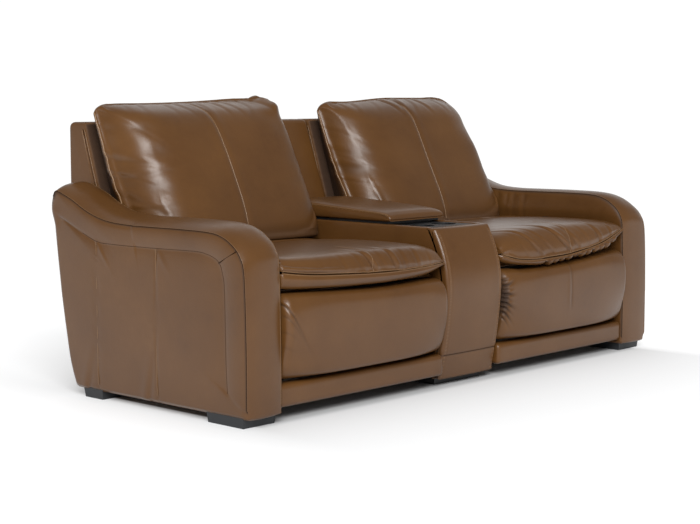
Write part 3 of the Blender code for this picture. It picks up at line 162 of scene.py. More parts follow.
def birch():
    """Birch plywood: pale face veneer with long grain along the board."""
    made, tree, shader, place = new_material("birch_plywood_board", linear("#b89468"), 0.62)
    along = node(tree, "Mapping", {"Vector": place, "Scale": (2.0, 60.0, 60.0)})
    grain = node(tree, "TexNoise", {"Vector": along.outputs["Vector"], "Scale": 3.0, "Detail": 6.0})
    veneer = node(tree, "ValToRGB", {"Fac": grain.outputs["Fac"]})
    veneer.color_ramp.elements[0].color = linear("#9c7748")
    veneer.color_ramp.elements[1].color = linear("#cbab80")
    tree.links.new(veneer.outputs["Color"], shader.inputs["Base Color"])
    return made


# full-grain hide under a thin pigmented top coat: warm brown with a soft, broad shine
LEATHER = leather("semi_aniline_cowhide", 0.29, 0.38)
# the same hide rubbed by sitting: a sharper shine
SEAT_LEATHER = leather("polished_cowhide", 0.26, 0.35)
# the fibrous lower layer of the hide, sprayed matt, for the frames of the backs: even and dull
SPLIT_LEATHER = leather("split_cowhide", 0.50, 0.60)
# dark cord deep in a seam: painted shade along the seam's groove, drawn as a dark thread
SEAM_SHADE_CORD = grained("seam_shadow_thread", "#2c1a0e", 0.8, 1.2, 0.1, Specular_IOR_Level=0.1)
# waxed top stitching: lighter than the hide, with a slight shine
LIGHT_THREAD = grained("waxed_tan_thread", "#7d5e40", 0.5, 1.2, 0.1)
# strip of hide sewn round a cord, lighter than the hide: partly the pull-up of hide stretched over the cord,
# partly a painted highlight along the seam's ridge
PIPING = grained("leather_piping_cord", "#745637", 0.40, 3.0, 0.2)
# injection-moulded ABS from an etched mould: satin black with a fine grit
BLACK_ABS = grained("textured_black_abs", "#17181a", 0.42, 1.4, 0.15)
# the same plastic from a coarser mould: greyer and duller
FOOT_ABS = grained("moulded_black_foot", "#1d1f22", 0.50, 1.6, 0.15)
# pressed steel in stove enamel: nearly black, with a hard shine
BLACK_STEEL = grained("black_enamelled_steel", "#1b1c1e", 0.35, 2.5, 0.1, Metallic=0.4)
# board under a footrest: rotary-cut face veneer, pale and matt
BIRCH = birch()


def curve(points, count):
    """Catmull-Rom curve through points, resampled to equal steps of length."""
    pieces = [24] * (len(points) - 1)
    return resample(rows_between(np.asarray(points, float)[None], pieces)[0], count)


def resample(path, count):
    """The same path with this many points at equal steps of length."""
    steps = np.linalg.norm(np.diff(path, axis=0), axis=1)
    run = np.concatenate([[0.0], np.cumsum(steps)])
    places = np.linspace(0.0, run[-1], count)
    return np.stack([np.interp(places, run, path[:, i]) for i in range(path.shape[1])], axis=1)


def rows_between(controls, steps):
    """Catmull-Rom curves through rows of control points (stations, points, 2), all stations at once.

    steps gives the number of pieces of each span, so a control point falls on the same row in every station.
    """
    ends = [2 * controls[:, :1] - controls[:, 1:2], controls, 2 * controls[:, -1:] - controls[:, -2:-1]]
    knots = np.concatenate(ends, axis=1)
    spans = []
    for i, count in enumerate(steps):
        t = np.arange(count)[None, :, None] / count
        p0, p1, p2, p3 = (knots[:, i + k:i + k + 1] for k in range(4))
        spans.append((2 * p1 + (p2 - p0) * t + (2 * p0 - 5 * p1 + 4 * p2 - p3) * t ** 2
                      + (3 * p1 - p0 - 3 * p2 + p3) * t ** 3) / 2)
    return np.concatenate(spans + [controls[:, -1:]], axis=1)


def rounded(corners, step=0.006):
    """Closed outline through corners (depth, height, radius), each turned by an arc of its radius."""
    count = len(corners)
    path = []
    for i, (d, z, radius) in enumerate(corners):
        here = np.array((d, z))
        before = np.array(corners[i - 1][:2]) - here
        after = np.array(corners[(i + 1) % count][:2]) - here
        a, b = before / np.linalg.norm(before), after / np.linalg.norm(after)
        half = math.acos(float(np.clip(a @ b, -1, 1))) / 2
        run = min(radius / math.tan(half), 0.49 * np.linalg.norm(before), 0.49 * np.linalg.norm(after))
        t = np.linspace(0, 1, 13)[:, None]
        path.append((1 - t) ** 2 * (here + a * run) + 2 * t * (1 - t) * here + t ** 2 * (here + b * run))
    path = np.concatenate(path + [path[0][:1]])
    length = np.linalg.norm(np.diff(path, axis=0), axis=1).sum()
    return resample(path, int(length / step))[:-1]


def unit(vectors):
    """Vectors brought to length one along the last axis."""
    return vectors / np.maximum(np.linalg.norm(vectors, axis=-1, keepdims=True), 1e-12)


def outward(outline):
    """Unit normals of a closed outline, or of each of several, that point out of it."""
    along = np.roll(outline, -1, axis=-2) - np.roll(outline, 1, axis=-2)
    normal = unit(np.stack([along[..., 1], -along[..., 0]], axis=-1))
    following = np.roll(outline, -1, axis=-2)
    area = (outline[..., 0] * following[..., 1] - following[..., 0] * outline[..., 1]).sum(axis=-1)
    return normal * np.sign(area)[..., None, None]


def sections(count, rows):
    """Control points (stations, rows, 2); a row's depth and height are one number or one per station."""
    placed = [np.stack([np.broadcast_to(value, count) for value in row], axis=1) for row in rows]
    return np.stack(placed, axis=1)


def world(x, section):
    """Points in world axes from places across X and a section's depths and heights."""
    return np.stack(np.broadcast_arrays(x, FRONT_Y + section[..., 0], section[..., 1]), axis=-1)


def loft(xs, outlines, centres, rings=10, puff=0.0):
    """Closed grid from outlines (stations, points, 2) that stand at xs, with closed ends.

    At each end the last outline is drawn in to a centre, bulging by puff times one minus radius squared.
    """
    radius = np.linspace(0, 1, rings, endpoint=False)
    caps = []
    for end, centre in ((0, centres[0]), (-1, centres[1])):
        inner = np.asarray(centre) + (outlines[end][:, None] - centre) * radius[None, :, None]
        out = np.sign(xs[end] - xs[len(xs) // 2])
        caps.append(world(xs[end] + out * puff * (1 - radius ** 2), inner))
    return np.concatenate([caps[0], world(xs, outlines.transpose(1, 0, 2)), caps[1][:, ::-1]], axis=1)


def edge_places(x0, x1, edge, inner=12, steps=5):
    """Places across X and how far the outline is drawn in there: a quarter round at each end."""
    angle = np.linspace(0, math.pi / 2, steps + 1)
    run, drop = edge * (1 - np.cos(angle)), edge * (1 - np.sin(angle))
    middle = np.linspace(x0 + edge, x1 - edge, inner + 2)[1:-1]
    return (np.concatenate([x0 + run, middle, (x1 - run)[::-1]]),
            np.concatenate([drop, np.zeros(inner), drop[::-1]]))


def facing(grid):
    """Outward unit normals of a closed grid whose rows run round it."""
    down = np.roll(grid, -1, axis=0) - np.roll(grid, 1, axis=0)
    across = np.gradient(grid, axis=1)
    normal = unit(np.cross(down, across))
    return normal * np.sign(np.einsum("ijk,ijk->", normal, grid - grid.mean(axis=(0, 1))))


def ridge(value, middle, width):
    """Bell of height one round a middle."""
    return np.exp(-((value - middle) / width) ** 2)


def fold(value, line, deep, width, high, gap, broad):
    """Fold of leather: a groove on a line and, a gap beside it, the broader roll that it pushes up."""
    return high * ridge(value, line + gap, broad) - deep * ridge(value, line, width)


def weld(points):
    """Number of the first of each lot of points that coincide, and the lot of every point."""
    key = np.round(points * WELDS).astype(np.int64)
    _, first, lot = np.unique(key, axis=0, return_index=True, return_inverse=True)
    return first, lot.reshape(-1)


def mesh_of(name, points, quads, material, crease=None):
    """Mesh object at the origin from points and quads; corners that coincide are welded."""
    first, lot = weld(points)
    quads = lot[quads]
    same = quads == np.roll(quads, -1, axis=1)
    whole = quads[~same.any(axis=1)]
    pinched = [quads[same[:, i] & (same.sum(axis=1) == 1)][:, [(i + 1) % 4, (i + 2) % 4, (i + 3) % 4]]
               for i in range(4)]
    triangles = np.concatenate(pinched)
    mesh = bpy.data.meshes.new(name)
    mesh.vertices.add(len(first))
    mesh.vertices.foreach_set("co", points[first].ravel())
    corners = np.concatenate([whole.ravel(), triangles.ravel()]).astype(np.int32)
    sizes = np.concatenate([np.full(len(whole), 4), np.full(len(triangles), 3)]).astype(np.int32)
    mesh.loops.add(len(corners))
    mesh.loops.foreach_set("vertex_index", corners)
    mesh.polygons.add(len(sizes))
    mesh.polygons.foreach_set("loop_start", np.concatenate([[0], np.cumsum(sizes)[:-1]]).astype(np.int32))
    mesh.polygons.foreach_set("use_smooth", np.ones(len(sizes), dtype=bool))
    mesh.update(calc_edges=True)
    mesh.validate()
    # painted shade of folds, tucks, hollows and seam grooves, one value a point
    shade = mesh.attributes.new("crease", "FLOAT", "POINT")
    if crease is not None:
        shade.data.foreach_set("value", crease.ravel()[first].astype(np.float32))
    mesh.materials.append(material)
    made = bpy.data.objects.new(name, mesh)
    bpy.context.scene.collection.objects.link(made)
    return made


def grid_quads(rows, columns, wrap_rows, wrap_columns):
    """Corner numbers of the quads between neighbours of a grid."""
    index = np.arange(rows * columns).reshape(rows, columns)
    if wrap_rows:
        index = np.vstack([index, index[:1]])
    if wrap_columns:
        index = np.hstack([index, index[:, :1]])
    return np.stack([index[:-1, :-1], index[1:, :-1], index[1:, 1:], index[:-1, 1:]], axis=-1).reshape(-1, 4)


def upholster(name, grid, body, solid, crease=None, hide=LEATHER):
    """Leather piece from a closed grid whose rows run round it; it stands for a solid and rides on a body."""
    points = grid.reshape(-1, 3)
    quads = grid_quads(*grid.shape[:2], True, False)
    a, b, c, d = (points[quads[:, i]] for i in range(4))
    if (a * (np.cross(b, c) + np.cross(c, d))).sum() < 0:
        quads = quads[:, ::-1]
    made = mesh_of(name, points, quads, hide, crease)
    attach(made, body)
    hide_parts(solid)


def spread(values, kept, count):
    """Values at the kept places along the first axis, carried to every place of count by straight blends."""
    place = np.arange(count)
    near = np.searchsorted(kept, place, side="right").clip(1, len(kept) - 1) - 1
    share = ((place - kept[near]) / (kept[near + 1] - kept[near]))[:, None, None]
    return values[near] * (1 - share) + values[near + 1] * share


def settle(grid, held, cap):
    """Cloth simulation of a padded cover, on every second row and column of its grid.

    The cover is cut wide by a share and blown up while its sewn points hold. Each point's move, at most cap
    long, is spread back over the whole grid along its rows and columns.
    """
    rows, columns = (np.unique(np.append(np.arange(0, n, 2), n - 1)) for n in grid.shape[:2])
    points = grid[np.ix_(rows, columns)].reshape(-1, 3)
    first, lot = weld(points)
    made = mesh_of("settling", points, grid_quads(len(rows), len(columns), True, False), LEATHER)
    group = made.vertex_groups.new(name="held")
    sewn = held[np.ix_(rows, columns)].ravel()[first]
    group.add(np.flatnonzero(sewn).tolist(), 1.0, "REPLACE")
    modifier = made.modifiers.new("cloth", "CLOTH")
    modifier.point_cache.frame_end = SETTLE_FRAMES
    cloth = modifier.settings
    cloth.vertex_group_mass = "held"
    cloth.quality = 4
    cloth.mass = 0.4
    cloth.tension_stiffness = cloth.compression_stiffness = 25.0
    cloth.shear_stiffness = 10.0
    cloth.bending_stiffness = 15.0
    cloth.air_damping = 4.0
    cloth.use_pressure = True
    cloth.uniform_pressure_force = PILLOW_PRESSURE
    cloth.shrink_min = -PILLOW_WIDE
    cloth.effector_weights.gravity = 0.0
    for step in range(1, SETTLE_FRAMES + 1):
        bpy.context.scene.frame_set(step)
    shape = made.evaluated_get(bpy.context.evaluated_depsgraph_get()).data
    settled = np.empty(len(first) * 3)
    shape.vertices.foreach_get("co", settled)
    bpy.data.objects.remove(made)
    bpy.context.scene.frame_set(1)
    move = settled.reshape(-1, 3) - points[first]
    size = np.maximum(np.linalg.norm(move, axis=1, keepdims=True), 1e-9)
    move *= cap * np.tanh(size / cap) / size
    move = move[lot].reshape(len(rows), len(columns), 3)
    move = spread(move.swapaxes(0, 1), columns, grid.shape[1]).swapaxes(0, 1)
    return grid + spread(move, rows, grid.shape[0])


def along_path(path, up):
    """Sideways vectors and normals along a path on a surface; up is a normal per point or one for all."""
    tangent = unit(np.gradient(path, axis=0))
    side = unit(np.cross(tangent, up))
    return side, np.cross(side, tangent)


def sew(body, material, points, quads):
    """Put points and quads by for the one mesh that a body has in a material."""
    SEWING.setdefault((body, material.name), []).append((points, quads))


def cord_line(body, material, path, up, radius, sink=0.0, sides=6):
    """Round cord along a path: a ring of points at each step, sunk into the surface, with shut ends."""
    side, normal = along_path(path, up)
    angle = np.arange(sides) * 2 * math.pi / sides
    shift = np.cos(angle)[None, :, None] * side[:, None] + np.sin(angle)[None, :, None] * normal[:, None]
    middle = path - normal * sink
    rings = middle[:, None] + radius * shift
    rings = np.concatenate([np.repeat(middle[:1, None], sides, axis=1), rings,
                            np.repeat(middle[-1:, None], sides, axis=1)])
    sew(body, material, rings.reshape(-1, 3), grid_quads(len(rings), sides, False, True))


def stitch_row(body, path, up, offset, pitch=0.0075, length=0.0052, radius=0.0006):
    """Row of stitches beside a path: a short six-sided spindle at each pitch, half sunk in the leather.

    Real stitches of this leather are about 5 mm long; their thread is drawn thicker so that it shows.
    """
    run = np.linalg.norm(np.diff(path, axis=0), axis=1).sum()
    count = max(2, int(run / pitch))
    both = resample(np.concatenate([path, np.broadcast_to(up, path.shape)], axis=1), count)
    side, normal = along_path(both[:, :3], both[:, 3:])
    tangent = np.cross(normal, side)
    middle = both[:, :3] + side * offset
    angle = np.arange(STITCH_SIDES) * 2 * math.pi / STITCH_SIDES
    places, girth = np.array((-0.5, -0.3, 0.3, 0.5)) * length, np.array((0.2, 1.0, 1.0, 0.2)) * radius
    shape = np.stack([np.repeat(places, STITCH_SIDES), np.outer(girth, np.cos(angle)).ravel(),
                      np.outer(girth, np.sin(angle)).ravel()], axis=1)
    points = (middle[:, None] + shape[None, :, :1] * tangent[:, None] + shape[None, :, 1:2] * side[:, None]
              + shape[None, :, 2:] * normal[:, None])
    # each six-sided end is two quads
    ends = np.array([[0, 1, 2, 3], [0, 3, 4, 5], [21, 20, 19, 18], [23, 22, 21, 18]])
    quads = np.concatenate([grid_quads(len(places), STITCH_SIDES, False, True), ends])
    each = quads[None] + np.arange(count)[:, None, None] * len(shape)
    sew(body, LIGHT_THREAD, points.reshape(-1, 3), each.reshape(-1, 4))


def finish_sewing():
    """One mesh for all cords and stitches of a body in one material."""
    for (body, finish), parts in SEWING.items():
        starts = np.cumsum([0] + [len(points) for points, _ in parts[:-1]])
        points = np.concatenate([points for points, _ in parts])
        quads = np.concatenate([quads + start for (_, quads), start in zip(parts, starts)])
        made = mesh_of(f"{body}_{finish}", points, quads, bpy.data.materials[finish])
        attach(made, body)


def ease(value, low, high):
    """Smooth step from zero at low to one at high."""
    share = np.clip((value - low) / (high - low), 0, 1)
    return share * share * (3 - 2 * share)


# outer seam of an arm in depth and height: over the top from the rear, down the front, back along the bottom
ARM_SEAM = ((0.892, 0.640), (0.880, 0.657), (0.860, 0.655), (0.797, 0.634), (0.719, 0.600), (0.634, 0.576),
            (0.530, 0.567), (0.396, 0.567), (0.267, 0.568), (0.142, 0.566), (0.082, 0.555), (0.037, 0.531),
            (0.010, 0.504), (-0.006, 0.466), (-0.012, 0.378), (-0.015, 0.245), (-0.016, 0.150),
            (-0.016, 0.060), (-0.015, 0.035), (-0.009, 0.0285), (0.040, 0.0285), (0.250, 0.0285),
            (0.500, 0.0285), (0.750, 0.0285), (0.788, 0.031), (0.801, 0.046), (0.826, 0.112), (0.846, 0.208),
            (0.864, 0.305), (0.873, 0.369), (0.886, 0.466), (0.897, 0.563), (0.899, 0.610), (0.892, 0.640))
# border seam inside it
ARM_BORDER = ((0.852, 0.575), (0.750, 0.534), (0.671, 0.508), (0.600, 0.503), (0.377, 0.504), (0.205, 0.507),
              (0.150, 0.502), (0.115, 0.492), (0.094, 0.477), (0.083, 0.450), (0.075, 0.400), (0.071, 0.191),
              (0.064, 0.055), (0.080, 0.047), (0.300, 0.045), (0.600, 0.045), (0.755, 0.048), (0.785, 0.080),
              (0.805, 0.150), (0.828, 0.260), (0.845, 0.360), (0.862, 0.480), (0.868, 0.550), (0.852, 0.575))
ARM_CENTRE = np.array((0.42, 0.30))
# upright seams of the side panel: depth, height of the upper end, slant of the puckers by the lower end
ARM_UPRIGHTS = ((0.667, 0.505, 0.30), (0.378, 0.503, 0.20))
# how far each arm's band stands out in front, and how much its top is raised
ARM_FIT = {"left": (0.005, 0.0), "right": (0.002, 0.006)}


def arm(side, sign):
    """Arm: a side panel with an inset border, a domed band over top and front, and an inner panel.

    The outer seam is a closed curve in depth and height. The band carries it across the arm, raised along its
    normals by a dome and leant over to the inner seam; each panel draws it in to a centre, the outer one by
    way of the border seam, which runs out where the panel turns round the rear edge and the bottom.
    """
    nose, raised = ARM_FIT[side]
    seam = curve(ARM_SEAM, 430)[:-1]
    polar = curve(ARM_BORDER, 300)[:-1] - ARM_CENTRE
    turn = np.arctan2(polar[:, 1], polar[:, 0])
    order = np.argsort(turn)
    spoke = seam - ARM_CENTRE
    bearing = np.arctan2(spoke[:, 1], spoke[:, 0])
    reach = np.interp(bearing, turn[order], np.hypot(*polar.T)[order], period=2 * math.pi)
    edge = np.hypot(*spoke.T)
    ray = np.stack([np.cos(bearing), np.sin(bearing)], axis=1)
    normal = outward(seam)
    over, ahead = np.clip(normal[:, 1], 0, 1), np.clip(-normal[:, 0], 0, 1)
    lift = 0.002 + 0.0135 * over + nose * ahead
    lean = 0.017 * over - 0.006 * ahead
    sewn = np.where(seam[:, 0] > 0.5, ease(seam[:, 1], 0.54, 0.60), ease(seam[:, 1], 0.040, 0.060))

    inside = np.linspace(0, 1, 30, endpoint=False)
    outside = np.linspace(0, 1, 11, endpoint=False)
    beyond = reach[:, None] + (edge - reach)[:, None] * outside
    radius = np.concatenate([reach[:, None] * inside, beyond], axis=1)
    pads = np.concatenate([0.006 * (1 - inside ** 6), 0.0045 * np.sin(math.pi * outside) ** 0.7])
    share = radius / edge[:, None]
    plain = 0.006 * (1 - share ** 4) - 0.009 * ease(share, 0.95, 1.0) ** 2
    swell = sewn[:, None] * pads + (1 - sewn)[:, None] * plain
    panel = world(HALF_WIDTH + swell, ARM_CENTRE + ray[:, None] * radius[..., None])

    t = 0.5 - 0.5 * np.cos(np.linspace(0, math.pi, 34))
    dome = 1 - np.abs(2 * t - 1) ** 2.6
    rise = lift[:, None] * dome + lean[:, None] * t
    rounding = 0.009 * (1 - sewn)[:, None] * (1 - t) ** 6
    across = HALF_WIDTH - (HALF_WIDTH - BAY_OUT) * t - rounding
    band = world(across, seam[:, None] + normal[:, None] * rise[..., None])

    shrink = np.linspace(1, 0, 33)[1:]
    inner_seam = seam + normal * lean[:, None]
    flat = ARM_CENTRE + (inner_seam - ARM_CENTRE)[:, None] * shrink[None, :, None]
    swell = 0.013 * ease(flat[..., 1], 0.475, 0.525) * np.sin(math.pi * shrink) ** 0.5
    inner = world(BAY_OUT - 0.003 * (1 - shrink ** 4) - swell, flat)
    grid = np.concatenate([panel, band, inner], axis=1)
    grid[..., 0] *= sign
    grid[..., 2] += raised * ease(grid[..., 2], 0.40, 0.56)
    border_column = len(inside)
    outer_column = panel.shape[1]
    inner_column = outer_column + len(t) - 1

    depth, height = grid[..., 1] - FRONT_Y, grid[..., 2]
    column = np.arange(grid.shape[1])
    on_panel, on_inner = column < outer_column, column > inner_column + 1
    low = np.clip((0.19 - height) / 0.15, 0, 1)
    high = ridge(height, 0.47, 0.035)
    relief = np.zeros(grid.shape[:2])
    for place, _, slant in ARM_UPRIGHTS:
        # the seam's groove, puckers by its lower end and a soft roll by its upper end
        line = depth - place
        relief -= 0.0013 * ridge(line, 0.0, 0.006) * on_panel * (height < 0.50)
        pucker = 0.016 + slant * (0.15 - height)
        relief += low * on_panel * fold(line, pucker, 0.0024, 0.010, 0.0022, 0.024, 0.018)
        relief += 0.0016 * high * ridge(line, -0.03 + 0.8 * (height - 0.47), 0.010) * on_panel
    rng = np.random.default_rng(29)
    drop = (0.585 + 0.35 * np.clip(depth - 0.56, 0, 0.2)) - height
    for k in range(9):
        # gathers of the inner panel under its seam near the back
        start = 0.46 + 0.040 * k + rng.uniform(-0.012, 0.012)
        hold = np.exp(-np.clip(drop, 0, 1) / 0.070) * on_inner * rng.uniform(0.3, 1.0)
        relief += hold * fold(depth, start + 0.10 * drop, 0.0066, 0.009, 0.0044, 0.020, 0.012)
    up = facing(grid)
    grid = grid + up * relief[..., None]

    # the seams show from the rear top to the foot of the front
    run = np.arange(int(np.argmax(seam[:, 1] < 0.046)))
    # painted shade in the grooves of the folds, and lines of painted shade along the seams
    crease = np.clip(-relief / 0.02, 0, 0.15)
    crease[run, outer_column], crease[run, inner_column] = 0.8, 0.7
    upholster(f"{side}_arm_upholstery", grid, "frame", f"{side}_arm", crease)
    # dark cords are painted shade along the seams' grooves
    for column, finish, size, sink in ((outer_column, SEAM_SHADE_CORD, 0.0013, 0.0002),
                                       (inner_column, SEAM_SHADE_CORD, 0.0013, 0.0002),
                                       (border_column, SEAM_SHADE_CORD, 0.0009, 0.0003),
                                       (outer_column + 2, PIPING, 0.0013, 0.0004),
                                       (inner_column - 2, PIPING, 0.0013, 0.0004)):
        cord_line("frame", finish, grid[run, column], up[run, column], size, sink)
    sideways = (sign, 0.0, 0.0)
    for place, top, _ in ARM_UPRIGHTS:
        path = world(sign * (HALF_WIDTH + 0.0042), np.linspace((place, top), (place, 0.05), 60))
        cord_line("frame", PIPING, path, sideways, 0.0010, 0.0004)
    # dark cord of painted shade along the mitre seam
    mitre = world(sign * (HALF_WIDTH + 0.0038), np.linspace((0.096, 0.480), (0.020, 0.519), 14))
    cord_line("frame", SEAM_SHADE_CORD, mitre, sideways, 0.0011)


def bay(sign, gap):
    """Left and right end of a piece that fills a bay between arm and console but for a gap at each end."""
    return sorted((sign * (BAY_IN + gap), sign * (BAY_OUT - gap)))


def shell_d(z):
    """Depth of the raked front face of the back shells at a height."""
    return SHELL_TOP_D - SHELL_SLOPE * (SHELL_TOP - z)


def slab(name, body, solid, outline, ends, edge, centre, puff=0.0, inner=12, shade=None, gathers=None,
         hide=LEATHER):
    """Upholstered panel: one outline across X with its rims rounded by drawing it in along its normals.

    shade gives the painted shade by depth and height, and gathers the relief by place across, depth and height.
    """
    xs, drop = edge_places(*ends, edge, inner)
    outlines = outline[None] - outward(outline)[None] * drop[:, None, None]
    grid = loft(xs, outlines, (centre, centre), puff=puff)
    places = grid[..., 0], grid[..., 1] - FRONT_Y, grid[..., 2]
    crease = None if shade is None else shade(*places[1:])
    if gathers is not None:
        grid = grid + facing(grid) * gathers(*places)[..., None]
    upholster(name, grid, body, solid, crease, hide)


def back_shell(side, sign):
    """Padded frame of a back: a lapped seam behind its front edge, gathered in waves of 27 and 43 mm."""
    outline = rounded([(shell_d(0.285), 0.285, 0.02), (SHELL_TOP_D, SHELL_TOP, 0.02),
                       (REAR_D, SHELL_TOP, 0.024), (REAR_D, 0.66, 0.03), (0.862, 0.285, 0.02)], 0.004)
    low, high = bay(sign, 0.008)
    body = f"{side}_back"

    def covered(d, z):
        """Shade on the front face, where the cushion lies."""
        return 0.8 * ease(shell_d(z) + 0.010 - d, 0.0, 0.008) * (z < 0.87)

    def rim(x, d, z):
        """Gathers along the front edge of both rims."""
        near = np.minimum(np.abs(x - low), np.abs(x - high))
        wave = np.sin(2 * math.pi * z / 0.027) + np.sin(2 * math.pi * z / 0.043 + 1.0)
        return 0.0006 * wave * ridge(near, 0.0, 0.014) * ridge(d - shell_d(z), 0.006, 0.020) * (z < 0.86)

    slab(f"{side}_back_frame", body, f"{side}_back_shell", outline, (low, high), 0.014, (0.87, 0.60), 0.004,
         shade=covered, gathers=rim, hide=SPLIT_LEATHER)
    heights = np.linspace(0.42, 0.852, 70)
    bulge = 0.004 * np.clip((heights - 0.35) / 0.3, 0, 1) * 0.35
    # the middle cord is dark, painted shade in the lapped seam's groove
    lines = ((0.014, PIPING, 0.0013), (0.021, SEAM_SHADE_CORD, 0.0008), (0.028, PIPING, 0.0013))
    for x, out in ((low, -1.0), (high, 1.0)):
        for back, finish, size in lines:
            path = world(x + out * bulge, np.stack([shell_d(heights) + back, heights], axis=1))
            cord_line(body, finish, path, (out, 0.0, 0.0), size)
    # border seam of the rear panel: up both sides, then along the bottom and the top
    behind = outward(outline)[:, 0] > 0.3
    rear = outline[behind & (outline[:, 1] > 0.325) & (outline[:, 1] < 0.835)]
    rear = rear[np.argsort(rear[:, 1])]
    inset = low + 0.045, high - 0.045
    uprights = [world(x, rear) for x in inset]
    levels = [np.linspace(*(world(x, corner) for x in inset), 60) for corner in (rear[0], rear[-1])]
    # dark cords of painted shade along the border seam, with stitches beside them
    for path in uprights + levels:
        cord_line(body, SEAM_SHADE_CORD, path, REARWARD, 0.0014)
        stitch_row(body, path, REARWARD, 0.006)


# share of a back cushion's height, and how far its belly and its flanks stand out from the shell there
BACK_RISE = np.array((0.06, 0.16, 0.30, 0.46, 0.62, 0.76, 0.87, 0.945, 0.988, 1.0))
BACK_BELLY = {"left": (0.276, 0.288, 0.288, 0.278, 0.265, 0.250, 0.230, 0.197, 0.140, 0.092),
              "right": (0.258, 0.266, 0.260, 0.246, 0.233, 0.222, 0.207, 0.174, 0.126, 0.088)}
BACK_FLANK = (0.105, 0.105, 0.095, 0.076, 0.065, 0.060, 0.056, 0.054, 0.054, 0.052)
BACK_BOTTOM = 0.474
BACK_CORNER = 0.905
# powers that round the flank on the left and the top's corner on the right, and seed of the puckers
BACK_FIT = {"left": (5.4, 40.0, 7), "right": (4.6, 13.0, 11)}
BACK_RINGS = 6


def across_cushion():
    """Places from -1 to 1 across a cushion, closest together at its flanks, as the sine of equal steps."""
    return np.sin(np.linspace(-math.pi / 2, math.pi / 2, 181))


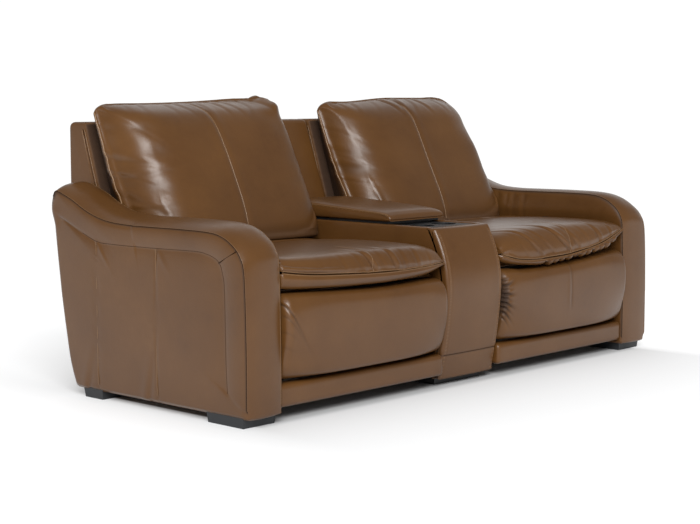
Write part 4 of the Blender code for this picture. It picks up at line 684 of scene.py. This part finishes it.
def back_cushion(side, sign):
    """Overstuffed back cushion: sections from the shell's face out to a belly and over a rolled top.

    The belly's depth is the flank's depth plus the rest times a root of one minus |t| to a high power, with t
    from -1 to 1 across the cushion: the left flank is rounder than the right one. The top is nearly level and
    turns down over the last part before each corner in the same way.
    """
    flank_power, corner_power, seed = BACK_FIT[side]
    t = across_cushion()
    a = np.abs(t)
    crown = np.clip(1 - a ** np.where(t < 0, flank_power, 10.0), 0, 1) ** np.where(t < 0, 0.5, 0.38)
    belly, flank = np.array(BACK_BELLY[side]), np.array(BACK_FLANK) + 0.055 * ease(t, 0.0, 1.0)[:, None]
    swell = flank + (belly - flank) * crown[:, None]
    if side == "left":
        level = 0.942 + 0.009 * ease(t, -0.6, 0.7) + 0.016 * ridge(t, 0.94, 0.09)
        swell[:, 7:] += 0.022 * ease(t, 0.60, 0.95)[:, None]
    else:
        level = 0.944 + 0.015 * ease(t, -0.75, 0.1)
        swell[:, 5:] -= 0.016 * ease(t, 0.55, 0.95)[:, None]
    fall = np.clip(1 - a ** np.where(t < 0, 14.0, corner_power), 0, 1) ** 0.5
    top = BACK_CORNER + (level - BACK_CORNER) * fall
    height = BACK_BOTTOM + (top[:, None] - BACK_BOTTOM) * BACK_RISE
    base = swell[:, 0]
    # each row's reach out from the shell's face, and its height
    rows = [(0.0006, BACK_BOTTOM), (0.5 * base, BACK_BOTTOM - 0.004), (0.93 * base, BACK_BOTTOM + 0.002),
            *zip(swell.T, height.T),
            (0.044 + 0.018 * crown, top - 0.012), (0.036 + 0.006 * crown, 0.872), (0.012, 0.828),
            (0.0006, 0.770), (0.0006, 0.620)]
    steps = [12, 10, 8, 14, 18, 20, 20, 18, 14, 12, 10, 8, 10, 10, 8, 8, 12]
    outlines = rows_between(sections(len(t), [(shell_d(z) - reach, z) for reach, z in rows]), steps)
    mid = sign * SEAT_MID
    grid = loft(mid + SEAT_HALF * t, outlines, [(shell_d(0.7) - 0.03, 0.7)] * 2, rings=BACK_RINGS)
    # the sides tuck in towards the shell behind the piping
    out = grid[..., 0] - mid
    reach = shell_d(grid[..., 2]) - (grid[..., 1] - FRONT_Y)
    border = np.interp(grid[..., 2], height[0], flank[0])
    tuck = 0.040 * np.clip(1 - reach / (0.94 * border), 0, 1) * ease(np.abs(out) / SEAT_HALF, 0.80, 1.0)
    grid[..., 0] -= np.sign(out) * tuck

    first, last = sum(steps[:2]), sum(steps[:12])
    column = np.arange(grid.shape[1])
    held = np.ones(grid.shape[:2], bool)
    held[sum(steps[:3]):last + 6] = (column < 9) | (column > grid.shape[1] - 10)
    grid = settle(grid, held, BACK_CAP)
    up = facing(grid)
    x, z = grid[..., 0] - mid, grid[..., 2]
    near = SEAT_HALF - np.abs(x)
    place = np.arange(grid.shape[0])[:, None]
    shown = ((place > first) & (place < last)).astype(float)
    relief = -0.0032 * ridge(x, 0.0, 0.006) + 0.0010 * ridge(np.abs(x), 0.022, 0.016)
    rng = np.random.default_rng(seed)
    for edge in (-1.0, 1.0):
        # soft puckers that start at the side piping, over broad dents, weaker on the right
        on_flank = (np.sign(x) == edge) * (0.7 - 0.3 * edge)
        for k in range(10):
            start = 0.590 + 0.034 * k + rng.uniform(-0.020, 0.020)
            slope, size = rng.uniform(-0.90, 0.30), rng.uniform(0.2, 1.0) ** 2
            width = rng.uniform(0.005, 0.013)
            hold = on_flank * np.exp(-near / rng.uniform(0.030, 0.110)) * size
            relief += hold * fold(z, start + slope * near, 0.0026, width, 0.0022, 2 * width, 1.4 * width)
        for k in range(4):
            dent = ridge(near, rng.uniform(0.03, 0.11), 0.035) * on_flank
            size, level = rng.uniform(0.4, 1.0), 0.60 + 0.085 * k + rng.uniform(-0.02, 0.02)
            relief -= 0.0040 * size * dent * ridge(z, level, 0.022)
    over = ease(z, 0.885, 0.945)
    for k in range(9):
        # gathers over the top edge
        start = -0.28 + 0.072 * k + rng.uniform(-0.022, 0.022)
        slope, size = rng.uniform(-1.2, 0.3), rng.uniform(0.2, 1.0)
        relief += size * over * fold(x, start + slope * (0.95 - z), 0.0034, 0.009, 0.0026, 0.018, 0.013)
    relief *= shown
    grid = grid + up * relief[..., None]
    up = facing(grid)
    # painted shade: in the grooves of the folds, on the sides tucked in behind the piping, and darker towards the
    # bottom where the cushion meets the seat
    crease = np.clip(-relief / 0.02, 0, 0.2)
    crease += 0.7 * np.clip(tuck / 0.02, 0, 1) + 0.45 * ease(z, 0.545, 0.485) * shown
    body = f"{side}_back"
    upholster(f"{side}_back_pillow", grid, body, f"{side}_back_cushion", crease)
    middle = BACK_RINGS + len(t) // 2
    span = np.arange(first + 8, last)
    cord_line(body, PIPING, grid[span, middle], up[span, middle], 0.0024, 0.0006)
    for column, out in ((7, -1.0), (grid.shape[1] - 8, 1.0)):
        cord_line(body, PIPING, grid[span, column], (out, -0.45, 0.0), 0.0032, 0.0003, sides=8)


# heights of the front seam and of the lip's lower edge across each seat
SEAT_SEAM = {"left": ((-1.02, 0.4490), (-0.82, 0.4386), (-0.63, 0.4321), (-0.41, 0.4275), (0.00, 0.4200),
                      (0.33, 0.4176), (0.76, 0.4195), (1.02, 0.4215)),
             "right": ((-1.02, 0.4270), (-0.85, 0.4076), (-0.70, 0.3997), (-0.56, 0.3975), (-0.34, 0.3978),
                       (0.00, 0.4030), (0.50, 0.4267), (0.81, 0.4521), (1.02, 0.4690))}
SEAT_LIP = {"left": ((-1.02, 0.4000), (-0.83, 0.3945), (-0.42, 0.3890), (0.00, 0.3850), (0.32, 0.3850),
                     (0.74, 0.3915), (1.02, 0.4130)),
            "right": ((-1.02, 0.4020), (-0.86, 0.3870), (-0.64, 0.3785), (-0.43, 0.3755), (0.00, 0.3850),
                      (0.49, 0.4033), (0.73, 0.4171), (1.02, 0.4590))}
SEAT_EDGE = {"left": (0.504, 0.452), "right": (0.460, 0.494)}
SEAT_CROWN = {"left": 0.498, "right": 0.514}
# where the nose turns over: depth behind the seam and share of the height
SEAT_ROLL = {"left": (0.016, 0.80), "right": (0.014, 0.72)}
# creases over the nose of each seat: place across, lean, length, weight
SEAT_CREASES = {
    "left": ((-0.225, -0.2, 0.045, 0.12), (-0.125, -0.3, 0.060, 0.25), (-0.045, -0.5, 0.075, 0.30),
             (0.010, -0.6, 0.090, 1.05), (0.058, -0.5, 0.070, 0.30), (0.108, -0.4, 0.085, 0.95),
             (0.160, -0.35, 0.070, 0.35), (0.220, -0.3, 0.060, 0.45), (0.285, -0.2, 0.050, 0.20)),
    "right": ((-0.235, -0.7, 0.080, 0.20), (-0.160, -1.0, 0.140, 0.65), (-0.085, -1.1, 0.150, 0.30),
              (0.005, -1.0, 0.150, 1.05), (0.062, -0.8, 0.110, 0.60), (0.130, -0.7, 0.090, 0.25),
              (0.195, -0.5, 0.080, 0.75), (0.270, -0.3, 0.060, 0.40))}


SEAT_RINGS = 8


def seat_cushion(side, sign):
    """Seat cushion: a crowned top that rolls over the nose to a smiling front seam, and a soft lip below it.

    The crown rises from each edge by the root of one minus |t| to the fourth, t from -1 to 1 across the seat.
    """
    t = across_cushion()
    a = np.abs(t)
    seam_z, lip = (np.interp(t, *curve(points, 200).T) for points in (SEAT_SEAM[side], SEAT_LIP[side]))
    seam_d = -0.039 + 0.031 * a ** 3
    first, last = SEAT_EDGE[side]
    roll, share = SEAT_ROLL[side]
    edge = first + (last - first) * (t + 1) / 2
    crown = edge + (SEAT_CROWN[side] - edge) * np.clip(1 - a ** 4, 0, 1) ** 0.5 - 0.022 * a ** 40
    rows = [(0.628, 0.3665), (0.340, 0.3665), (0.068, 0.3665), (0.056, 0.386), (seam_d + 0.040, lip + 0.001),
            (seam_d + 0.010, lip), (seam_d - 0.006, 0.45 * lip + 0.55 * seam_z), (seam_d, seam_z),
            (seam_d - 0.003, seam_z + 0.30 * (crown - seam_z)),
            (seam_d + roll, seam_z + share * (crown - seam_z)), (seam_d + 0.060, crown - 0.002),
            (0.140, crown + 0.001), (0.270, crown), (0.400, crown - 0.006), (0.500, crown - 0.018),
            (0.580, crown - 0.037), (0.628, crown - 0.060)]
    steps = [10, 10, 6, 6, 10, 10, 10, 12, 14, 16, 20, 24, 24, 20, 14, 8]
    mid = sign * SEAT_MID
    grid = loft(mid + SEAT_HALF * t, rows_between(sections(len(t), rows), steps), [(0.30, 0.41)] * 2,
                rings=SEAT_RINGS, puff=0.003)
    seam_row = sum(steps[:7])
    column = np.arange(grid.shape[1])
    held = np.ones(grid.shape[:2], bool)
    held[seam_row + 2:sum(steps[:14])] = (column < 11) | (column > grid.shape[1] - 12)
    grid = settle(grid, held, SEAT_CAP)
    up = facing(grid)
    place = np.arange(grid.shape[0])[:, None]
    x, d = grid[..., 0] - mid, grid[..., 1] - FRONT_Y
    run = np.zeros(grid.shape[:2])
    run[seam_row + 1:] = np.linalg.norm(np.diff(grid[seam_row:], axis=0), axis=2).cumsum(axis=0)
    top = (place >= seam_row).astype(float) * (d < 0.62)
    below = ((place < seam_row) & (place > sum(steps[:4]))).astype(float)
    seam_groove, middle_groove = 0.005 * ridge(place, seam_row, 1.4), 0.0020 * ridge(x, 0.0, 0.006)
    relief = -seam_groove - middle_groove * top * ease(run, 0.30, 0.05)
    widen = 0.03 * run
    for start, slope, far, size in SEAT_CREASES[side]:
        fade = np.exp(-(run / far) ** 2) * ease(run, 0.0, 0.022) * top * size
        relief += fade * fold(x, start + slope * run, 0.0058, 0.0055 + widen, 0.0042, 0.015, 0.0090 + widen)
    if side == "right":
        # scallops of the gathered lip, which run out by the arm
        rng = np.random.default_rng(5)
        start = -0.15
        while start < 0.30:
            size = rng.uniform(0.5, 1.0) * ease(start, 0.38, 0.20)
            lean = rng.uniform(-0.3, 0.3) * (seam_row - place) / 26
            width = rng.uniform(0.006, 0.012)
            groove = ridge(x, start + 0.03 * lean, width) * ease(seam_row - place, 3, 12)
            relief -= 0.0180 * size * below * groove
            relief += 0.0080 * size * below * ridge(x, start + 0.022, 0.0130) * ease(seam_row - place, 2, 12)
            start += rng.uniform(0.032, 0.060)
    grid = grid + up * relief[..., None]
    up = facing(grid)
    # painted shade in the grooves of the creases, deeper in the lip's scallops, and a dark line of painted shade
    # along the front seam
    crease = np.clip(-relief / 0.02, 0, 0.25 + 0.35 * below)
    crease[seam_row] = np.maximum(crease[seam_row], 0.8)
    body = f"{side}_carriage"
    upholster(f"{side}_seat_pillow", grid, body, f"{side}_seat_cushion", crease, SEAT_LEATHER)
    span = np.arange(9, grid.shape[1] - 9)
    # dark cord of painted shade along the front seam's groove
    cord_line(body, SEAM_SHADE_CORD, grid[seam_row, span], up[seam_row, span], 0.0018)
    for offset in (-2, 2):
        cord_line(body, PIPING, grid[seam_row + offset, span], up[seam_row + offset, span], 0.0014, 0.0003)
    middle = SEAT_RINGS + len(t) // 2
    centre = np.arange(seam_row + 2, seam_row + 62)
    cord_line(body, PIPING, grid[centre, middle], up[centre, middle], 0.0012, 0.0003)


# height of the top edge of each footrest across it
FOOT_TOP = {"left": ((-1.0, 0.3850), (-0.81, 0.3830), (-0.39, 0.3750), (0.02, 0.3690), (0.35, 0.3680),
                     (0.78, 0.3715), (1.0, 0.3715)),
            "right": ((-1.0, 0.3740), (-0.83, 0.3710), (-0.61, 0.3640), (0.00, 0.3690), (0.53, 0.3815),
                      (0.84, 0.3890), (1.0, 0.3900))}
# sections of a footrest, full in the middle and tucked in at its ends
FOOT_FULL = np.array([(0.0295, 0.134), (0.012, 0.1245), (-0.018, 0.1262), (-0.034, 0.136), (-0.040, 0.170),
                      (-0.0425, 0.250), (-0.0415, 0.322), (-0.037, 0.350), (-0.026, 0.3660), (-0.004, 0.3725),
                      (0.0295, 0.371)])
FOOT_TUCKED = np.array([(0.0295, 0.134), (0.022, 0.1255), (0.006, 0.136), (-0.008, 0.156), (-0.018, 0.182),
                        (-0.034, 0.245), (-0.036, 0.300), (-0.027, 0.338), (-0.012, 0.358), (0.008, 0.368),
                        (0.0295, 0.369)])
FOOT_HEART = np.array((0.012, 0.25))
# pleats that fan out from the left end: height, lean, reach, weight
FOOT_PLEATS = {"left": ((0.352, -1.6, 0.060, 0.45), (0.318, -1.2, 0.050, 0.22), (0.270, -0.6, 0.034, 0.12),
                        (0.225, -0.4, 0.028, 0.10)),
               "right": ((0.334, 0.5, 0.018, 0.7), (0.316, 0.4, 0.026, 1.0), (0.301, 0.2, 0.019, 0.7),
                         (0.287, 0.0, 0.026, 1.1), (0.272, -0.3, 0.020, 0.8), (0.257, -0.5, 0.028, 1.1),
                         (0.241, -0.8, 0.022, 0.9), (0.224, -1.0, 0.026, 0.9), (0.205, -1.3, 0.020, 0.5))}


def footrest(side, sign):
    """Footrest pad: a D in section, flat in the middle and tucked in at its ends by the fourth power of t."""
    xs, drop = edge_places(-SEAT_HALF, SEAT_HALF, 0.022, inner=130, steps=10)
    e = (np.abs(xs) / SEAT_HALF)[:, None, None] ** 4
    steps = [6, 10, 8, 14, 24, 24, 14, 10, 8, 6]
    controls = FOOT_FULL * (1 - e) + FOOT_TUCKED * e
    top = np.interp(xs / SEAT_HALF, *curve(FOOT_TOP[side], 200).T)[:, None]
    controls[..., 1] += (top - 0.3725) * ease(controls[..., 1], 0.24, 0.37)
    shrink = 1 - drop[:, None, None] / np.array((0.050, 0.125))
    outlines = FOOT_HEART + (rows_between(controls, steps) - FOOT_HEART) * shrink
    mid = sign * SEAT_MID
    grid = loft(mid + xs, outlines, [FOOT_HEART] * 2, rings=6, puff=0.002)
    x, z = grid[..., 0] - mid, grid[..., 2]
    place = np.arange(grid.shape[0])[:, None]
    front = ((place > 8) & (place < sum(steps) - 8)).astype(float)
    relief = np.zeros(grid.shape[:2])
    near = np.clip(SEAT_HALF + x, 0, 1)
    for start, slope, far, size in FOOT_PLEATS[side]:
        hold = np.exp(-(near / far) ** 2) * size
        line = start + slope * near
        relief += hold * fold(z, line, 0.0070, 0.0038 + 0.08 * near, 0.0018, 0.012, 0.0075 + 0.10 * near)
    if side == "right":
        # upright seam of the middle, drawn to one side
        relief -= 0.0014 * ridge(x, 0.0, 0.005) * ease(z, 0.19, 0.24)
        relief += 0.0012 * ridge(x, -0.012, 0.010) * ridge(z, 0.27, 0.05)
    relief *= front
    grid = grid + facing(grid) * relief[..., None]
    # painted shade in the grooves of the pleats; on the right footrest also a dark band of painted shade at its
    # left end, beside the console
    crease = np.clip(-relief / 0.005, 0, 0.85)
    if side == "right":
        crease = np.maximum(crease, 0.85 * ease(near, 0.016, 0.004) * ridge(z, 0.275, 0.075))
    upholster(f"{side}_footrest_cover", grid, f"{side}_footrest", f"{side}_footrest_pad", crease)


def rails(side, sign):
    """Padded front rail and plain rear rail of a seat, each one rounded outline across the bay."""
    ends = bay(sign, 0.0015)
    front = rounded([(-0.005, 0.042, 0.018), (-0.005, 0.114, 0.020), (0.045, 0.114, 0.012),
                     (0.045, 0.042, 0.008)], 0.003)
    slab(f"{side}_front_rail_cover", "frame", f"{side}_front_rail", front, ends, 0.012, (0.021, 0.078),
         inner=40)
    rear = rounded([(0.700, 0.040, 0.01), (0.700, 0.172, 0.012), (0.735, 0.172, 0.012),
                    (0.735, 0.040, 0.01)], 0.004)
    slab(f"{side}_rear_rail_cover", "frame", f"{side}_rear_rail", rear, ends, 0.007, (0.7175, 0.106))


CONSOLE_BELLY = (-0.021, 0.325)         # depth and height where the console's front stands out most
CONSOLE_SEAM = 0.105                    # height of the seam across it
CONSOLE_WALL = 0.024
LID_HALF = BAY_IN - 0.004
LID_BASE = 0.5389                       # height of the lid's underside


def console_front(z):
    """Depth of the console's bowed front at a height: powers of the way up and down from its belly."""
    depth, level = CONSOLE_BELLY
    above = depth + 0.060 * (np.clip(z - level, 0, 1) / 0.200) ** 2
    below = depth + 0.040 * (np.clip(level - z, 0, 1) / 0.289) ** 1.6
    return np.where(z > level, above, below)


def shut_strip(grid, outlines, xs):
    """Close the ends of a thin bowed strip: its face and rear meet on a middle line, not at a point."""
    ends = [world(xs[end], (outlines[end] + outlines[end][::-1]) / 2)[:, None] for end in (0, -1)]
    return np.concatenate([ends[0], grid[:, 2:-2], ends[1]], axis=1)


def console():
    """Console: a bowed front with stitched edges, two side panels and the post between the backs."""
    heights = np.linspace(0.024, 0.522, 92)
    bowed = console_front(heights)
    face = np.stack([bowed, heights], axis=1)
    roll = np.array([(0.0395, 0.5265), (0.048, 0.5285), (0.066, 0.5285), (0.0735, 0.5255)])
    rear = np.stack([bowed + CONSOLE_WALL, heights], axis=1)[::-3]
    outline = np.concatenate([face, roll, rear])
    xs, drop = edge_places(-BAY_IN, BAY_IN, 0.013, inner=46, steps=8)
    faced = (np.arange(len(outline)) < len(face) + 2).astype(float)
    outlines = outline[None] - outward(outline)[None] * faced[:, None] * drop[:, None, None]
    outlines[:, :len(face), 0] -= (0.003 * (1 - (xs / BAY_IN) ** 2))[:, None]
    grid = shut_strip(loft(xs, outlines, [(0.02, 0.3)] * 2, rings=2), outlines, xs)
    up = facing(grid)
    seam_row = int(np.argmin(np.abs(heights - CONSOLE_SEAM)))
    place = np.arange(grid.shape[0])[:, None]
    relief = -0.0022 * ridge(place, seam_row, 1.2) * np.ones(grid.shape[:2])
    from_edge = BAY_IN - np.abs(grid[..., 0])
    relief -= 0.0014 * ridge(from_edge, 0.017, 0.003) * (place < len(face))
    grid = grid + up * relief[..., None]
    # a line of painted shade along the seam across the front
    crease = np.zeros(grid.shape[:2])
    crease[seam_row] = 0.5
    upholster("console_front_cover", grid, "frame", "console_front_panel", crease)
    for _, sign in SIDES:
        for back in (0.012, 0.020):
            column = int(np.argmin(np.abs(grid[40, :, 0] - sign * (BAY_IN - back))))
            stitch_row("frame", grid[2:len(face) - 2, column], up[2:len(face) - 2, column], 0.0)
    middle = slice(8, grid.shape[1] - 8)
    stitch_row("frame", grid[seam_row, middle], up[seam_row, middle], 0.006)
    # dark cord of painted shade along the seam across the front
    cord_line("frame", SEAM_SHADE_CORD, grid[seam_row, middle], up[seam_row, middle], 0.0010)

    side_outline = np.concatenate([
        np.stack([bowed + 0.0243, heights], axis=1)[::2], [(0.0640, 0.5285)],
        np.linspace((0.08, 0.530), (0.730, 0.530), 40), np.linspace((0.730, 0.50), (0.730, 0.036), 12),
        np.linspace((0.70, 0.036), (0.06, 0.036), 30)])
    for side, sign in SIDES:
        ends = sorted((sign * (BAY_IN - 0.028), sign * BAY_IN))
        slab(f"console_{side}_cover", "frame", f"console_{side}_side", side_outline, ends, 0.006,
             (0.38, 0.29), 0.0015, inner=2)
    post = rounded([(0.7303, 0.036, 0.004), (0.7303, 0.525, 0.004), (0.788, 0.525, 0.004),
                    (0.917, SHELL_TOP, 0.024), (REAR_D, SHELL_TOP, 0.024), (REAR_D, 0.66, 0.024),
                    (0.862, 0.285, 0.024), (0.790, 0.036, 0.02)])
    slab("console_post_cover", "frame", "console_back_post", post, (-0.143, 0.143), 0.012, (0.80, 0.45),
         inner=24)


def lid():
    """Padded lid: a wedge that thins to the front, with a piped band along its sides.

    Its crown falls off as one minus the fifth power of the way from the middle to a side.
    """
    xs, drop = edge_places(-LID_HALF, LID_HALF, 0.009, inner=60, steps=6)
    crown = 0.013 * (1 - (np.abs(xs) / LID_HALF) ** 5)
    # each row's depth and its height over the underside
    rows = [(0.727, 0.0), (0.500, 0.0), (0.256, 0.0), (0.242, 0.004), (0.239, 0.011),
            (0.249, 0.021 + 0.35 * crown), (0.282, 0.028 + 0.8 * crown), (0.391, 0.034 + crown),
            (0.517, 0.041 + crown), (0.640, 0.047 + crown), (0.705, 0.046 + 0.8 * crown),
            (0.724, 0.036 + 0.5 * crown), (0.727, 0.020)]
    steps = [16, 16, 4, 5, 8, 10, 18, 20, 18, 10, 8, 6]
    outlines = rows_between(sections(len(xs), [(d, LID_BASE + z) for d, z in rows]), steps)
    heart = np.array((0.50, LID_BASE + 0.022))
    shrink = 1 - drop[:, None, None] / np.array((0.24, 0.030))
    outlines = heart + (outlines - heart) * shrink
    outlines[..., 1] = np.maximum(outlines[..., 1], LID_BASE)
    grid = loft(xs, outlines, [heart] * 2, rings=8, puff=0.002)
    up = facing(grid)
    rise = np.clip((grid[..., 2] - LID_BASE - 0.012) / 0.02, 0, 1)
    near = LID_HALF - np.abs(grid[..., 0])
    relief = -0.0016 * ridge(near, 0.0, 0.004) * rise
    grid = grid + up * relief[..., None]
    upholster("lid_cover", grid, "lid", "lid_pad")
    span = np.arange(sum(steps[:5]), sum(steps[:11]))
    for column, out in ((11, -1.0), (grid.shape[1] - 12, 1.0)):
        cord_line("lid", PIPING, grid[span, column], up[span, column], 0.0016, 0.0004)
        stitch_row("lid", grid[span, column], up[span, column], 0.005 * out)


def dress_cad():
    """Procedural finishes on the CAD nodes that stay as they are."""
    finishes = {"foot": FOOT_ABS, "plinth": BLACK_ABS, "bin": BLACK_ABS, "tray": BLACK_ABS, "base": BLACK_ABS,
                "switch": BLACK_ABS, "drive": BLACK_ABS, "board": BIRCH}
    for name, made in frame["nodes"].items():
        words = name.split("_")
        chosen = BLACK_STEEL
        # a base rail is steel, unlike the lid's base
        for word, finish in finishes.items():
            if word in words and "rail" not in words:
                chosen = finish
        for slot in made.material_slots:
            slot.material = chosen


KEY_PLACE, KEY_TARGET = np.array((-9.4, -10.4, 9.6)), np.array((0.0, 0.0, 0.4))
KEY_SIZE = (9.2, 6.4)
KEY_WATTS = 3120.0
# camera fitted to the photograph: place, degrees down, degrees to the left of the front, lens and sensor
CAMERA_PLACE = (-4.0921, -3.7343, 0.9588)
CAMERA_DOWN, CAMERA_LEFT = 6.016, 47.0
LENS_MM, SENSOR_MM = 80.41, 36.0


def studio():
    """Pale floor, soft light and a camera at the photograph's angle."""
    scene = bpy.context.scene
    angle = np.linspace(0, 2 * math.pi, FLOOR_POINTS, endpoint=False)
    rim = FLOOR_RADIUS * np.stack([np.cos(angle), np.sin(angle), np.zeros(FLOOR_POINTS)], axis=1)
    floor = bpy.data.meshes.new("studio_floor")
    floor.from_pydata(rim.tolist(), [], [list(range(FLOOR_POINTS))])
    # white paper that glows as painted light up to the white of the cove: how far a place lies outside the sofa's
    # foot, with the way across drawn out, sets the glow
    paper, tree, shader, place = new_material("matt_white_paper", linear("#c4c5c6"), 0.9,
                                              Emission_Color=linear("#ffffff"))
    outside = place
    for operation, operand in (("ADD", (0.0, 0.090, 0.0)), ("ABSOLUTE", (0.0, 0.0, 0.0)),
                               ("SUBTRACT", (0.985, 0.365, 0.0)), ("MAXIMUM", (0.0, 0.0, 0.0))):
        outside = node(tree, "VectorMath", {0: outside, 1: operand}, operation=operation).outputs["Vector"]
    across = node(tree, "SeparateXYZ", {"Vector": place}).outputs["X"]
    stretch = node(tree, "MapRange", {"Value": across, "From Min": -0.9, "From Max": 0.9, "To Min": 3.0,
                                                "To Max": 9.0})
    factors = node(tree, "CombineXYZ", {"X": stretch.outputs["Result"], "Y": 1.0, "Z": 1.0})
    drawn = node(tree, "VectorMath", {0: outside, 1: factors.outputs["Vector"]}, operation="MULTIPLY")
    away = node(tree, "VectorMath", {0: drawn.outputs["Vector"]}, operation="LENGTH").outputs["Value"]
    rise = node(tree, "Math", {0: away, 1: 0.25}, operation="POWER")
    start = node(tree, "MapRange", {"Value": away, "From Max": 0.05, "To Max": 0.55},
                 interpolation_type="SMOOTHSTEP")
    glow = node(tree, "Math", {0: rise.outputs["Value"], 1: start.outputs["Result"]}, operation="MULTIPLY")
    tree.links.new(glow.outputs["Value"], shader.inputs["Emission Strength"])
    floor.materials.append(paper)
    ground = bpy.data.objects.new("studio_floor", floor)
    scene.collection.objects.link(ground)

    lamp = bpy.data.lights.new("key_softbox", "AREA")
    lamp.shape = "RECTANGLE"
    lamp.size, lamp.size_y = KEY_SIZE
    lamp.energy = KEY_WATTS
    softbox = bpy.data.objects.new("key_softbox", lamp)
    softbox.location = KEY_PLACE
    aim = KEY_TARGET - KEY_PLACE
    yaw, pitch = math.atan2(-aim[0], aim[1]), math.atan2(aim[2], math.hypot(aim[0], aim[1]))
    softbox.rotation_euler = (math.pi / 2 + pitch, 0.0, yaw)

    # cove that is brightest low down and on the camera's far side
    cove = bpy.data.worlds.new("white_cove")
    cove.use_nodes = True
    tree = cove.node_tree
    look = node(tree, "TexCoord").outputs["Generated"]
    toward = node(tree, "VectorMath", {0: look, 1: (0.65, 0.75, -0.10)}, operation="DOT_PRODUCT")
    wall = node(tree, "MapRange", {"Value": toward.outputs["Value"], "From Min": 0.40, "From Max": 0.95,
                                             "To Min": 0.27, "To Max": 1.05})
    height = node(tree, "SeparateXYZ", {"Vector": look}).outputs["Z"]
    sweep = node(tree, "MapRange", {"Value": height, "From Min": 0.0, "From Max": 0.12, "To Min": 1.05,
                                              "To Max": 0.0})
    light = node(tree, "Math", {0: wall.outputs["Result"], 1: sweep.outputs["Result"]}, operation="MAXIMUM")
    tree.links.new(light.outputs["Value"], tree.nodes["Background"].inputs["Strength"])
    tree.nodes["Background"].inputs["Color"].default_value = linear("#ffffff")
    scene.world = cove
    scene.view_settings.view_transform = "Standard"

    lens = bpy.data.cameras.new("photo_camera")
    lens.sensor_width = SENSOR_MM
    lens.lens = LENS_MM
    camera = bpy.data.objects.new("photo_camera", lens)
    camera.location = CAMERA_PLACE
    camera.rotation_euler = (math.radians(90.0 - CAMERA_DOWN), 0.0, math.radians(-CAMERA_LEFT))
    for made in (softbox, camera):
        scene.collection.objects.link(made)
    scene.camera = camera


def build():
    """Stage, finishes of the CAD nodes that stay, and every upholstered piece with its sewing."""
    studio()
    dress_cad()
    for side, sign in SIDES:
        arm(side, sign)
        back_shell(side, sign)
        back_cushion(side, sign)
        seat_cushion(side, sign)
        footrest(side, sign)
        rails(side, sign)
    console()
    lid()
    finish_sewing()


build()
